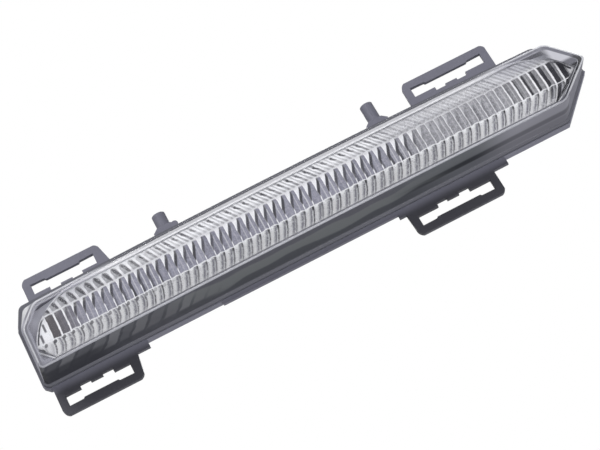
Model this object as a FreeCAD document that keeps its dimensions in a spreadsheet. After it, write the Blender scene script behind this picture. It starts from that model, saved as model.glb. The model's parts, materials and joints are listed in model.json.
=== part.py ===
import FreeCAD, Part
import math
import os

import Sketcher

# Daytime running light for a car bumper, in millimetres.
# The lamp lies along X, its clear front faces -Y and +Z is up.
# Sizes are taken from the lamp's own axis: X from mid-length, Y from the flange's front face, and
# Z from the middle of the front window. Every piece is then shifted so that the origin is the
# centre of the whole lamp.

doc = FreeCAD.newDocument("daytime_running_light")
dim = doc.addObject("Spreadsheet::Sheet", "dim")

SIZES = {
    # flange outline, seen from the front
    "half_length": 150.0,
    "flange_top": 27.8,
    "flange_bottom": 17.2,
    "top_rise": 1.7,
    "corner_width": 5.0,
    "corner_height": 11.5,
    "foot_corner": 2.5,
    "tip_height": 4.0,
    "upper_slant": 16.0,
    "lower_slant": 21.0,
    "rim_depth": 4.5,
    # front window of the cover lens, inset from the flange outline
    "lens_depth": 26.0,
    "lens_bow": 2.4,
    "lens_wall": 2.0,
    "lens_end_inset": 5.0,
    "lens_top_inset": 13.6,
    "lens_bottom_inset": 0.5,
    "lens_corner": 9.8,
    "lens_tip_inset": 4.0,
    "lens_tip_height": -0.7,
    "lens_upper_slant": 13.4,
    "lens_lower_slant": 19.7,
    "lens_edge_radius": 0.9,
    "lens_rim_inset": 0.5,
    "lens_rim_depth": 2.5,
    # groove that takes the foot of the lens
    "groove_wall": 1.2,
    "groove_width": 2.2,
    "groove_depth": 3.2,
    "foot_depth": 2.0,
    "foot_clearance": 0.2,
    # back shell of the housing
    "cavity_inset": 4.4,
    "shell_inset": 2.2,
    "shell_wall": 2.2,
    "back_depth": 16.0,
    "back_inset": 3.5,
    "back_bottom_inset": 6.8,
    # mounting tabs
    "tab_thickness": 2.2,
    "slot_height": 5.2,
    "slot_end": 7.2,
    "slot_shoulder": 0.8,
    "slot_notch": 2.0,
    "slot_notch_width": 17.0,
    "slot_tooth_width": 6.2,
    "slot_tooth": 1.2,
    "slot_rim": 4.0,
    "left_slot_length": 33.0,
    "right_slot_length": 38.6,
    "tab_bar": 4.2,
    "upper_left_inset": 31.1,
    "upper_left_reach": 40.2,
    "upper_right_inset": 58.6,
    "upper_right_reach": 42.7,
    "lower_left_inset": 24.2,
    "lower_left_reach": 33.2,
    "lower_right_inset": 88.2,
    "lower_right_reach": 33.7,
    "tab_lean": 2.0,
    # lower stretches of the flange
    "pad_drop": 3.8,
    "pad_margin": 12.0,
    "pad_lead": 8.0,
    "belly_drop": 1.7,
    "belly_left": -58.0,
    # locating pegs
    "left_peg_place": -66.0,
    "left_peg_radius": 3.45,
    "left_peg_top": 40.2,
    "right_peg_place": 49.3,
    "right_peg_radius": 3.35,
    "right_peg_top": 42.6,
    "peg_foot_height": 3.2,
    "peg_foot_spread": 2.6,
    # fluted optic
    "flute_count": 61,
    "flute_depth": 1.0,
    "flute_edge_depth": 0.4,
    "draw_angle": 21.0,
    "optic_inset_left": 6.8,
    "optic_inset_tip": 9.8,
    "optic_crest": 20.5,
    "optic_edge": 14.6,
    "optic_top": 16.6,
    "optic_top_rise": 1.4,
    "facet_top": 8.4,
    "facet_bottom": -4.0,
    "optic_bottom": -10.4,
    "optic_left_round": 28.0,
    "optic_left_radius": 30.0,
    "optic_right_round": 27.0,
    "optic_right_radius": 33.8,
    "optic_tip_lift": 3.2,
    "optic_tip_cut": 15.0,
    "optic_foot_cut": 6.0,
    # bezel round the optic
    "bezel_depth": 1.5,
    "bezel_gap": 0.4,
    "bezel_lap": 1.6,
    # reflector, a row of shallow bowls
    "bowl_count": 4,
    "bowl_inset_left": 17.1,
    "bowl_inset_tip": 32.5,
    "bowl_sagitta": 14.5,
    "bowl_wall": 1.2,
    "bowl_land": 1.2,
    "reflector_top": 14.0,
    "reflector_bottom": -12.2,
    "reflector_front": 11.5,
    "led_height": 1.4,
    "led_hole": 7.6,
    "leg_width": 3.6,
    "leg_clearance": 0.5,
    # emitters and their board
    "led_width": 4.8,
    "led_base": 0.9,
    "emitter_width": 3.0,
    "emitter_thickness": 0.4,
    "led_board_gap": 0.3,
    "board_thickness": 1.6,
    "led_board_low": -5.4,
    "led_board_high": 8.2,
    "led_board_overlap": 5.5,
    "pad_thickness": 0.5,
    # heat sink behind the board
    "sink_inset": 20.0,
    "sink_bay_gap": 5.0,
    "sink_low": -9.4,
    "sink_high": 12.6,
    "sink_plate": 2.5,
    "sink_margin": 4.6,
    "fin_depth": 6.0,
    "fin_thickness": 1.5,
    "fin_count": 4,
    "sink_screw_count": 5,
    "window_clearance": 0.3,
    # driver bay, its cover and its socket
    "bay_inset": 22.0,
    "bay_width": 25.0,
    "bay_low": -4.6,
    "bay_high": 18.8,
    "cover_lap": 4.6,
    "cover_side_lap": 2.6,
    "cover_plate": 2.0,
    "cover_dome": 4.5,
    "cover_wall": 1.8,
    "cover_seal_width": 1.2,
    "cover_seal_depth": 1.1,
    "socket_width": 12.4,
    "socket_height": 17.0,
    "socket_length": 11.5,
    "socket_wall": 1.6,
    "terminal_count": 3,
    "terminal_pitch": 5.2,
    "terminal_width": 2.8,
    "terminal_thickness": 0.8,
    "terminal_reach": 6.4,
    # driver board and its parts
    "driver_board_gap": 2.6,
    "driver_chip_width": 5.0,
    "driver_chip_height": 4.0,
    "driver_chip_thickness": 1.4,
    "driver_chip_inset": 3.5,
    "driver_chip_drop": 7.0,
    "coil_width": 5.8,
    "coil_thickness": 3.6,
    "coil_inset": 2.6,
    "capacitor_radius": 2.0,
    "capacitor_length": 4.6,
    "capacitor_inset": 6.0,
    "capacitor_drop": 8.4,
    "capacitor_pitch": 4.4,
    "link_height": 10.0,
    # screws
    "screw_radius": 1.5,
    "screw_length": 7.0,
    "screw_head_radius": 2.6,
    "screw_head_height": 1.8,
    "screw_clearance": 0.1,
    "boss_radius": 2.5,
    "boss_floor": 1.2,
    "small_screw_radius": 0.9,
    "small_screw_length": 4.0,
    "small_head_radius": 1.6,
    "small_head_height": 1.1,
    "small_screw_inset": 4.7,
    "cover_post_radius": 1.8,
    # breather
    "vent_inset": 11.6,
    "vent_height": 5.0,
    "vent_bore": 2.6,
    "vent_cap_radius": 5.0,
    "vent_cap_depth": 4.0,
    "vent_cap_wall": 1.2,
    "membrane_thickness": 0.5,
}

for row, (alias, value) in enumerate(SIZES.items(), start=1):
    dim.set("A%d" % row, alias)
    dim.set("B%d" % row, str(value))
    dim.setAlias("B%d" % row, alias)
doc.recompute()


def number(text):
    """The value in millimetres of an expression on the sheet."""
    return float(dim.evalExpression(text))


# Sums of sizes that several pieces share
FRONT_Y = "-dim.lens_depth"
OPTIC_BACK = "(dim.reflector_front + dim.bezel_depth)"
BACK_OUTER_Y = "dim.back_depth"
BACK_INNER_Y = "(dim.back_depth - dim.shell_wall)"
REFLECTOR_BACK_Y = "(dim.bowl_sagitta + dim.bowl_wall - dim.reflector_front)"
LED_BOARD_Y = "(%s + dim.led_board_gap)" % REFLECTOR_BACK_Y
LED_BOARD_BACK_Y = "(%s + dim.board_thickness)" % LED_BOARD_Y
PAD_BACK_Y = "(%s + dim.pad_thickness)" % LED_BOARD_BACK_Y
DRIVER_BOARD_Y = "(%s + dim.driver_board_gap)" % LED_BOARD_BACK_Y
DRIVER_BACK_Y = "(%s + dim.board_thickness)" % DRIVER_BOARD_Y
COVER_BACK_Y = "(%s + dim.cover_plate)" % BACK_OUTER_Y
DOME_INNER_Y = "(%s + dim.cover_dome - dim.cover_wall)" % COVER_BACK_Y
DOME_OUTER_Y = "(%s + dim.cover_dome)" % COVER_BACK_Y
SOCKET_END_Y = "(%s + dim.socket_length)" % DOME_OUTER_Y
BAY_RIGHT = "(dim.half_length - dim.bay_inset)"
BAY_LEFT = "(%s - dim.bay_width)" % BAY_RIGHT
BAY_X = "(%s - dim.bay_width / 2)" % BAY_RIGHT
BAY_Z = "((dim.bay_low + dim.bay_high) / 2)"
SINK_LEFT = "(dim.sink_inset - dim.half_length)"
SINK_RIGHT = "(%s - dim.sink_bay_gap)" % BAY_LEFT
LED_BOARD_RIGHT = "(%s + dim.led_board_overlap)" % BAY_LEFT
ISLAND_EDGE = "(dim.sink_margin + dim.window_clearance)"
BOWL_PITCH = "((2 * dim.half_length - dim.bowl_inset_left - dim.bowl_inset_tip) / dim.bowl_count)"
VENT_X = "(dim.vent_inset - dim.half_length)"
PEG_FOOT_TOP = "(dim.flange_top + dim.top_rise + dim.peg_foot_height)"

# Middles of the four tabs, each measured from the nearer end of the lamp
UPPER_LEFT_TAB = "(dim.upper_left_inset - dim.half_length)"
UPPER_RIGHT_TAB = "(dim.half_length - dim.upper_right_inset)"
LOWER_LEFT_TAB = "(dim.lower_left_inset - dim.half_length)"
LOWER_RIGHT_TAB = "(dim.half_length - dim.lower_right_inset)"

# Shift of every piece that brings the centre of the whole lamp to the origin
SHIFT_Y = "(dim.lens_depth - %s) / 2" % SOCKET_END_Y
SHIFT_Z = "(dim.lower_right_reach - dim.upper_right_reach) / 2"


def arcs_of(start, end, radius, side):
    """A counter-clockwise arc between two points that bulges to the left of the way for side 1."""
    chord = end - start
    half = chord.Length / 2
    left = FreeCAD.Vector(-chord.y, chord.x, 0).normalize()
    centre = (start + end) * 0.5 - left * side * math.sqrt(radius * radius - half * half)
    turn = [math.atan2(p.y - centre.y, p.x - centre.x) for p in (start, end)]
    if side > 0:
        turn.reverse()
    if turn[1] < turn[0]:
        turn[1] += 2 * math.pi
    circle = Part.Circle(centre, FreeCAD.Vector(0, 0, 1), radius)
    return Part.ArcOfCircle(circle, turn[0], turn[1])


def draw_path(sketch, points, arcs=None):
    """A closed outline through points given as expressions; arcs maps a span to (radius, side)."""
    arcs = arcs or {}
    count = len(points)
    corner = [FreeCAD.Vector(number(a), number(b), 0) for a, b in points]
    first = sketch.GeometryCount
    for i in range(count):
        start, end = corner[i], corner[(i + 1) % count]
        if i in arcs:
            sketch.addGeometry(arcs_of(start, end, number(arcs[i][0]), arcs[i][1]), False)
        else:
            sketch.addGeometry(Part.LineSegment(start, end), False)

    def start_of(i):
        return 2 if i in arcs and arcs[i][1] > 0 else 1

    for i in range(count):
        following = (i + 1) % count
        sketch.addConstraint(Sketcher.Constraint(
            "Coincident", first + i, 3 - start_of(i), first + following, start_of(following)))
        for kind, text in zip(("DistanceX", "DistanceY"), points[i]):
            bind(sketch, Sketcher.Constraint(kind, -1, 1, first + i, start_of(i), number(text)), text)
        if i in arcs:
            text = arcs[i][0]
            bind(sketch, Sketcher.Constraint("Radius", first + i, number(text)), text)


def bind(sketch, constraint, text):
    """Adds a constraint whose value follows an expression on the sheet."""
    index = sketch.addConstraint(constraint)
    sketch.setExpression("Constraints[%d]" % index, text)


def draw_box(sketch, left, low, right, high):
    draw_path(sketch, [(left, low), (right, low), (right, high), (left, high)])


def draw_square(sketch, across, up, width):
    draw_box(sketch, "%s - %s / 2" % (across, width), "%s - %s / 2" % (up, width),
             "%s + %s / 2" % (across, width), "%s + %s / 2" % (up, width))


def draw_circle(sketch, across, up, radius):
    centre = FreeCAD.Vector(number(across), number(up), 0)
    index = sketch.addGeometry(Part.Circle(centre, FreeCAD.Vector(0, 0, 1), number(radius)), False)
    bind(sketch, Sketcher.Constraint("DistanceX", -1, 1, index, 3, centre.x), across)
    bind(sketch, Sketcher.Constraint("DistanceY", -1, 1, index, 3, centre.y), up)
    bind(sketch, Sketcher.Constraint("Radius", index, number(radius)), radius)


def upright_sketch(name, depth):
    """A free sketch in an upright plane at a given Y; it sees X to the right and Z up."""
    sketch = doc.addObject("Sketcher::SketchObject", name)
    sketch.Placement.Rotation = FreeCAD.Rotation(FreeCAD.Vector(1, 0, 0), 90)
    sketch.setExpression("Placement.Base.y", depth)
    return sketch


def inset(name, source, distance):
    """The same outline drawn inwards by a distance."""
    ring = doc.addObject("Part::Offset2D", name)
    ring.Source = source
    ring.setExpression("Value", "-(%s)" % distance)
    ring.Join = "Intersection"
    return ring


def prism(name, base, length, direction=1):
    """A straight run of an outline along Y, backwards for direction 1 and forwards for -1."""
    solid = doc.addObject("Part::Extrusion", name)
    solid.Base = base
    solid.DirMode = "Custom"
    solid.Dir = FreeCAD.Vector(0, direction, 0)
    solid.setExpression("LengthFwd", length)
    solid.Solid = True
    return solid


def loft(name, *sections):
    solid = doc.addObject("Part::Loft", name)
    solid.Sections = list(sections)
    solid.Solid = True
    solid.Ruled = True
    return solid


def boolean(kind, name, base, tool):
    result = doc.addObject("Part::" + kind, name)
    result.Base = base
    result.Tool = tool
    return result


def cut(name, base, tool):
    return boolean("Cut", name, base, tool)


def common(name, base, tool):
    return boolean("Common", name, base, tool)


def fuse(name, *pieces):
    result = doc.addObject("Part::MultiFuse", name)
    result.Shapes = list(pieces)
    return result


def block(name, left, right, front, back, low, high):
    """A box between six expressions."""
    box = doc.addObject("Part::Box", name)
    box.setExpression("Length", "%s - (%s)" % (right, left))
    box.setExpression("Width", "%s - (%s)" % (back, front))
    box.setExpression("Height", "%s - (%s)" % (high, low))
    box.setExpression("Placement.Base.x", left)
    box.setExpression("Placement.Base.y", front)
    box.setExpression("Placement.Base.z", low)
    return box


def rod(name, across, up, front, back, radius):
    """A round rod along Y."""
    cylinder = doc.addObject("Part::Cylinder", name)
    cylinder.Placement.Rotation = FreeCAD.Rotation(FreeCAD.Vector(1, 0, 0), -90)
    cylinder.setExpression("Radius", radius)
    cylinder.setExpression("Height", "%s - (%s)" % (back, front))
    cylinder.setExpression("Placement.Base.x", across)
    cylinder.setExpression("Placement.Base.y", front)
    cylinder.setExpression("Placement.Base.z", up)
    return cylinder


finished = []


def finish(piece, label, shift=True):
    """Names a sub-part and moves it so that the lamp's centre is the origin."""
    piece.Label = label
    if shift:
        piece.setExpression("Placement.Base.y", SHIFT_Y)
        piece.setExpression("Placement.Base.z", SHIFT_Z)
    finished.append(piece)
    return piece


def new_body(name):
    return doc.addObject("PartDesign::Body", name)


def body_sketch(body, role, lift="0"):
    """A sketch on one of the body's own origin planes, lifted along the plane's normal."""
    plane = next(f for f in body.Origin.OriginFeatures if f.Role == role)
    sketch = body.newObject("Sketcher::SketchObject", body.Name + "_outline")
    sketch.AttachmentSupport = [(plane, "")]
    sketch.MapMode = "FlatFace"
    sketch.setExpression("AttachmentOffset.Base.z", lift)
    return sketch


def front_sketch(body, depth):
    """A sketch that looks along +Y, at a given Y."""
    return body_sketch(body, "XZ_Plane", "-(%s)" % depth)


def pad(body, sketch, length, backwards=True):
    feature = body.newObject("PartDesign::Pad", body.Name + "_pad")
    feature.Profile = sketch
    feature.setExpression("Length", length)
    feature.Reversed = backwards
    return feature


def pocket(body, sketch, length, backwards=True):
    feature = body.newObject("PartDesign::Pocket", body.Name + "_pocket")
    feature.Profile = sketch
    feature.setExpression("Length", length)
    feature.Reversed = not backwards
    return feature


# Outlines shared by the housing, the lens, its seal and the bezel

ARCH_RADIUS = "((2 * dim.half_length - dim.corner_width - dim.upper_slant)^2 / (8 * dim.top_rise))"
ARCH = {1: (ARCH_RADIUS, 1)}


def flange_outline(name, depth, in_by, bottom_in, corner=0):
    """The seven-sided outline with an arched top, drawn in by one distance and more at the bottom."""
    sketch = upright_sketch(name, depth)
    left = "-dim.half_length + %s" % in_by
    top = "dim.flange_top - %s" % in_by
    bottom = "-dim.flange_bottom + %s" % bottom_in
    draw_path(sketch, [
        (left, "dim.flange_top - dim.corner_height"),
        (left + " + dim.corner_width", top),
        ("dim.half_length - dim.upper_slant - %s" % in_by, top),
        ("dim.half_length - %s" % in_by, "dim.tip_height"),
        ("dim.half_length - dim.lower_slant - %s" % in_by, bottom),
        (left + " + dim.foot_corner", bottom),
        (left, bottom + " + dim.foot_corner"),
    ], ARCH)
    return sketch


def window_outline(name, depth):
    """The outline of the lens's front window."""
    sketch = upright_sketch(name, depth)
    left = "-dim.half_length + dim.lens_end_inset"
    top = "dim.flange_top - dim.lens_top_inset"
    bottom = "-dim.flange_bottom + dim.lens_bottom_inset"
    tip = "dim.half_length - dim.lens_tip_inset"
    draw_path(sketch, [
        (left, top + " - dim.lens_corner"),
        (left + " + dim.lens_corner", top),
        (tip + " - dim.lens_upper_slant", top),
        (tip, "dim.lens_tip_height"),
        (tip + " - dim.lens_lower_slant", bottom),
        (left + " + dim.foot_corner / 2", bottom),
        (left, bottom + " + dim.foot_corner / 2"),
    ], ARCH)
    return sketch


rim_outline = flange_outline("rim_outline", "0", "0", "0")
window = window_outline("window_outline", FRONT_Y)
LENS_FOOT_INSET = "(dim.groove_wall + dim.foot_clearance)"


def bowed_space(name, extra):
    """The space behind a bowed front that is thicker in the middle, up to a distance behind it."""
    space = doc.addObject("Part::Cylinder", name)
    bow_radius = "(dim.half_length^2 / (2 * dim.lens_bow))"
    space.setExpression("Radius", bow_radius)
    space.setExpression("Height", "4 * dim.flange_top")
    space.setExpression("Placement.Base.y", "%s + %s + %s" % (bow_radius, FRONT_Y, extra))
    space.setExpression("Placement.Base.z", "-2 * dim.flange_top")
    return space


def lens_envelope(name, gap):
    """The hat-shaped space inside the lens's outer skin, drawn in by a distance."""
    front = inset(name + "_front", window, gap) if gap != "0" else window
    base = inset(name + "_base", rim_outline, "%s + %s" % (LENS_FOOT_INSET, gap))
    hat = loft(name + "_hat", front, base)
    return common(name, hat, bowed_space(name + "_bow", gap))


def rounded_front(outer):
    """The same solid with the edges round its front window rounded."""
    doc.recompute()
    limit = number("-dim.lens_depth + dim.lens_bow + dim.lens_wall")
    radius = number("dim.lens_edge_radius")
    edges = [(index, radius, radius) for index, edge in enumerate(outer.Shape.Edges, start=1)
             if edge.BoundBox.YMax < limit]
    rounded = doc.addObject("Part::Fillet", "lens_rounded")
    rounded.Base = outer
    rounded.Edges = edges
    return rounded


def build_cover_lens():
    outer = lens_envelope("lens_outer", "0")
    inner = lens_envelope("lens_inner", "dim.lens_wall")
    rim = prism("lens_rim", inset("lens_rim_outline", rim_outline, "dim.lens_rim_inset"),
                "dim.lens_rim_depth", -1)
    foot_outer = inset("foot_outer", rim_outline, LENS_FOOT_INSET)
    foot_inner = inset("foot_inner", rim_outline,
                       "dim.groove_wall + dim.groove_width - dim.foot_clearance")
    foot = cut("lens_foot", prism("foot_block", foot_outer, "dim.foot_depth"),
               prism("foot_void", foot_inner, "dim.foot_depth"))
    skin = fuse("lens_skin", rounded_front(outer), rim)
    open_skin = cut("lens_open", skin, inner)
    finish(fuse("cover_lens", open_skin, foot), "cover_lens")


def build_lens_seal():
    outer = inset("seal_outer", rim_outline, "dim.groove_wall + dim.foot_clearance / 2")
    inner = inset("seal_inner", rim_outline, "dim.groove_wall + dim.groove_width - dim.foot_clearance / 2")
    depth = "dim.groove_depth - dim.foot_depth"
    ring = cut("lens_seal", prism("seal_block", outer, depth), prism("seal_void", inner, depth))
    finish(ring, "lens_seal", shift=False)
    ring.setExpression("Placement.Base.y", "%s + dim.foot_depth" % SHIFT_Y)
    ring.setExpression("Placement.Base.z", SHIFT_Z)


def tab(name, centre, side, reach, slot_length, lean):
    """A slotted tab with rounded outer corners above (side 1) or below (side -1) the flange.

    Lean widens its left and right roots.
    """
    sketch = upright_sketch(name + "_outline", "0")
    half = "(%s / 2 + dim.slot_rim)" % slot_length
    far = "dim.%s" % reach
    sign = "" if side > 0 else "-"
    root = "(dim.flange_top - dim.corner_width)" if side > 0 else "(dim.flange_bottom - dim.groove_wall)"
    left_lean, right_lean = ["%s * dim.tab_lean" % share for share in lean]

    def at(across, up):
        return ("%s + %s" % (centre, across), "%s(%s)" % (sign, up))

    draw_path(sketch, [
        at("-%s - %s" % (half, left_lean), root),
        at("-" + half, "%s - dim.tab_bar" % far),
        at("-%s + dim.corner_width / 2" % half, far),
        at("%s - dim.corner_width / 2" % half, far),
        at(half, "%s - dim.tab_bar / 2" % far),
        at("%s + %s" % (half, right_lean), root),
    ], {1: ("dim.tab_bar", side), 3: ("dim.tab_bar", side)})
    plate = prism(name + "_plate", sketch, "dim.tab_thickness")
    return cut(name, plate, slot_cutter(name, at, far, slot_length))


def slot_cutter(name, at, far, slot_length):
    """The slot: a long window, taller at its ends, with a toothed notch on the flange side."""
    sketch = upright_sketch(name + "_slot", "0")
    half = "(%s / 2)" % slot_length
    top = "%s - dim.tab_bar" % far
    shoulder = top + " - dim.slot_shoulder"
    sill = top + " - dim.slot_height"
    notch = sill + " - dim.slot_notch"
    tooth = notch + " + dim.slot_tooth"
    notch_half = "dim.slot_notch_width / 2"
    tooth_half = "dim.slot_tooth_width / 2"
    inner = "%s - dim.slot_end" % half
    draw_path(sketch, [
        at("-" + half, top),
        at("-(%s)" % inner, top),
        at("-(%s) + dim.slot_shoulder" % inner, shoulder),
        at("%s - dim.slot_shoulder" % inner, shoulder),
        at(inner, top),
        at(half, top),
        at(half, sill),
        at(notch_half, sill),
        at(notch_half, notch),
        at(tooth_half, notch),
        at(tooth_half, tooth),
        at("-" + tooth_half, tooth),
        at("-" + tooth_half, notch),
        at("-" + notch_half, notch),
        at("-" + notch_half, sill),
        at("-" + half, sill),
    ])
    return prism(name + "_hole", sketch, "dim.tab_thickness")


def peg(name, place, radius, top):
    """A round locating peg that stands on a sloping foot behind the flange's front face."""
    centre = "dim." + place
    wide = "dim." + radius
    shaft = doc.addObject("Part::Cylinder", name + "_shaft")
    shaft.setExpression("Placement.Base.x", centre)
    shaft.setExpression("Placement.Base.y", wide)
    shaft.setExpression("Placement.Base.z", PEG_FOOT_TOP)
    shaft.setExpression("Radius", wide)
    shaft.setExpression("Height", "dim.%s - %s" % (top, PEG_FOOT_TOP))
    sketch = upright_sketch(name + "_foot_outline", "0")
    root = "dim.flange_top - dim.shell_inset"
    shoulder = "dim.flange_top + dim.top_rise + dim.peg_foot_height / 3"
    draw_path(sketch, [
        ("%s - %s - dim.peg_foot_spread" % (centre, wide), root),
        ("%s + %s + dim.peg_foot_spread" % (centre, wide), root),
        ("%s + %s + dim.peg_foot_spread" % (centre, wide), shoulder),
        ("%s + %s" % (centre, wide), PEG_FOOT_TOP),
        ("%s - %s" % (centre, wide), PEG_FOOT_TOP),
        ("%s - %s - dim.peg_foot_spread" % (centre, wide), shoulder),
    ])
    return [shaft, prism(name + "_foot", sketch, "2 * " + wide)]


def flange_plate(name, left, right, drop):
    """A thin stretch of flange that hangs lower than the rest."""
    return block(name, left, right, "0", "dim.tab_thickness",
                 "-dim.flange_bottom - %s" % drop, "-dim.flange_bottom + dim.groove_wall")


def screw_places():
    """Places of the heat sink's screws: evenly spaced, in turn below and above its raised middle."""
    heights = ("(dim.sink_low + dim.sink_margin / 2)", "(dim.sink_high - dim.sink_margin / 2)")
    count = int(number("dim.sink_screw_count"))
    pitch = "(%s - %s) / dim.sink_screw_count" % (SINK_RIGHT, SINK_LEFT)
    return [("(%s + %s * %s)" % (SINK_LEFT, i + 0.5, pitch), heights[i % 2]) for i in range(count)]


def cover_screw_places():
    low = "(dim.bay_low - dim.cover_lap / 2 - dim.cover_seal_width / 2)"
    high = "(dim.bay_high + dim.cover_lap / 2 + dim.cover_seal_width / 2)"
    return [(BAY_X, low), (BAY_X, high)]


def build_rear_housing():
    rim = prism("rim_block", rim_outline, "dim.rim_depth")
    groove = cut("groove", prism("groove_block", inset("groove_outer", rim_outline, "dim.groove_wall"),
                                 "dim.groove_depth"),
                 prism("groove_island", inset("groove_inner", rim_outline,
                                              "dim.groove_wall + dim.groove_width"), "dim.groove_depth"))
    mouth = prism("mouth", inset("mouth_outline", rim_outline, "dim.cavity_inset"), "dim.rim_depth")
    back = flange_outline("back_outline", BACK_OUTER_Y, "dim.back_inset", "dim.back_bottom_inset")
    shell_front = flange_outline("shell_outline", "dim.rim_depth", "dim.shell_inset", "dim.shell_inset")
    shell = loft("shell_block", shell_front, back)
    inner_front = inset("shell_inner_front", shell_front, "dim.shell_wall")
    inner_back = inset("shell_inner_back", back, "dim.shell_wall")
    hollow = loft("shell_hollow", inner_front, inner_back)
    kept_hollow = cut("shell_void", hollow, block(
        "back_wall", "-dim.half_length", "dim.half_length", BACK_INNER_Y, BACK_OUTER_Y,
        "-dim.flange_top", "2 * dim.flange_top"))
    tabs = [
        tab("upper_left", UPPER_LEFT_TAB, 1, "upper_left_reach", "dim.left_slot_length", (0, 2)),
        tab("upper_right", UPPER_RIGHT_TAB, 1, "upper_right_reach", "dim.right_slot_length", (0, 0)),
        tab("lower_left", LOWER_LEFT_TAB, -1, "lower_left_reach", "dim.left_slot_length", (0, 1)),
        tab("lower_right", LOWER_RIGHT_TAB, -1, "lower_right_reach", "dim.right_slot_length", (0.5, 0)),
    ]
    right_pad = "%s - dim.right_slot_length / 2 - dim.pad_lead" % LOWER_RIGHT_TAB
    plates = [
        flange_plate("left_pad", "-dim.half_length + dim.corner_width",
                     "%s + dim.left_slot_length / 2 + dim.pad_margin" % LOWER_LEFT_TAB, "dim.pad_drop"),
        flange_plate("right_pad", right_pad,
                     "%s + dim.right_slot_length / 2 + dim.pad_margin" % LOWER_RIGHT_TAB, "dim.pad_drop"),
        flange_plate("belly", "dim.belly_left", right_pad, "dim.belly_drop"),
    ]
    pegs = peg("left_peg", "left_peg_place", "left_peg_radius", "left_peg_top")
    pegs += peg("right_peg", "right_peg_place", "right_peg_radius", "right_peg_top")
    boss_radius = "dim.left_peg_radius / 2"
    pegs.append(rod("peg_boss", "dim.left_peg_place + 3 * %s" % boss_radius,
                    "%s - %s - dim.window_clearance" % (PEG_FOOT_TOP, boss_radius), "0",
                    "2 * dim.left_peg_radius", boss_radius))
    shell_skin = cut("shell_skin", shell, kept_hollow)
    rim_ring = cut("rim_ring", rim, mouth)
    bosses = []
    holes = []
    placed = [(place, "dim.sink_plate") for place in screw_places()]
    placed += [(place, "dim.cover_plate") for place in cover_screw_places()]
    for index, ((across, up), plate) in enumerate(placed, start=1):
        name = "boss_%d" % index
        tip = "(%s + %s - dim.screw_length - dim.screw_clearance)" % (BACK_OUTER_Y, plate)
        bosses.append(rod(name, across, up, "%s - dim.boss_floor" % tip, BACK_INNER_Y,
                          "dim.boss_radius"))
        holes.append(rod(name + "_hole", across, up, tip, BACK_OUTER_Y,
                         "dim.screw_radius + dim.screw_clearance"))
    vent_bore = rod("vent_hole", VENT_X, "dim.vent_height", BACK_INNER_Y, BACK_OUTER_Y,
                    "dim.vent_bore")
    sink_window = block("sink_window", SINK_LEFT + " + dim.sink_margin",
                        SINK_RIGHT + " - dim.sink_margin", BACK_INNER_Y, BACK_OUTER_Y,
                        "dim.sink_low + dim.sink_margin", "dim.sink_high - dim.sink_margin")
    bay_window = block("bay_window", BAY_LEFT, BAY_RIGHT, BACK_INNER_Y, BACK_OUTER_Y,
                       "dim.bay_low", "dim.bay_high")
    shell_bosses = fuse("shell_bosses", shell_skin, *bosses)
    opened = cut("shell_opened", shell_bosses,
                 fuse("shell_holes", sink_window, bay_window, vent_bore, *holes))
    whole = fuse("housing_whole", rim_ring, opened, *(tabs + plates + pegs))
    finish(cut("rear_housing", whole, groove), "rear_housing")


def optic_outline(name):
    """Front outline of the optic: straight top and bottom, arcs at the upper corners, cut lower corners."""
    sketch = upright_sketch(name, FRONT_Y)
    left = "-dim.half_length + dim.optic_inset_left"
    right = "dim.half_length - dim.optic_inset_tip"
    top = "dim.optic_top + dim.optic_top_rise"
    knee = "dim.facet_bottom"
    draw_path(sketch, [
        (left, knee),
        (left + " + dim.optic_left_round", top),
        (right + " - dim.optic_right_round", top),
        (right, knee + " + dim.optic_tip_lift"),
        (right + " - dim.optic_tip_cut", "dim.optic_bottom"),
        (left + " + dim.optic_foot_cut", "dim.optic_bottom"),
    ], {0: ("dim.optic_left_radius", 1), 2: ("dim.optic_right_radius", 1)})
    return sketch


def flute_section(across, groove):
    """One slanted cut of the optic at a place along X; groove is the share of the flute's depth there."""
    half = number("dim.half_length")
    bow = number("dim.lens_bow") * (across / half) ** 2
    rise = number("dim.optic_top_rise") * (1 - (across / half) ** 2)
    crest = number("dim.optic_crest") - bow - groove * number("dim.flute_depth")
    edge = number("dim.optic_edge") - groove * number("dim.flute_edge_depth")
    back = number(OPTIC_BACK)
    slope = math.tan(math.radians(number("dim.draw_angle")))
    corners = [
        (back, number("dim.optic_top") + rise),
        (edge, number("dim.optic_top") + rise),
        (crest, number("dim.facet_top")),
        (crest, number("dim.facet_bottom")),
        (edge, number("dim.optic_bottom")),
        (back, number("dim.optic_bottom")),
    ]
    reference = number("dim.optic_crest")
    points = [FreeCAD.Vector(across - (reference - depth) * slope, -depth, height)
              for depth, height in corners]
    return Part.makePolygon(points + points[:1])


def build_fluted_optic():
    """The optic: flutes as a ruled skin through slanted cuts, trimmed to the optic's front outline."""
    count = int(number("dim.flute_count"))
    left = number("-dim.half_length + dim.optic_inset_left")
    right = number("dim.half_length - dim.optic_inset_tip")
    quarter = (right - left) / count / 4
    shoulder = 1 - math.sqrt(1 - 0.5 ** 2)
    grooves = (1.0, shoulder, 0.0, shoulder)
    overrun = 2 * len(grooves)
    sections = []
    for step in range(-overrun, 4 * count + overrun + 1):
        sections.append(flute_section(left + step * quarter, grooves[step % 4]))
    bar = Part.makeLoft(sections, True, True)
    trim = doc.getObject("optic_trim").Shape
    optic = doc.addObject("Part::Feature", "fluted_optic")
    optic.Shape = bar.common(trim)
    finish(optic, "fluted_optic")


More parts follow.
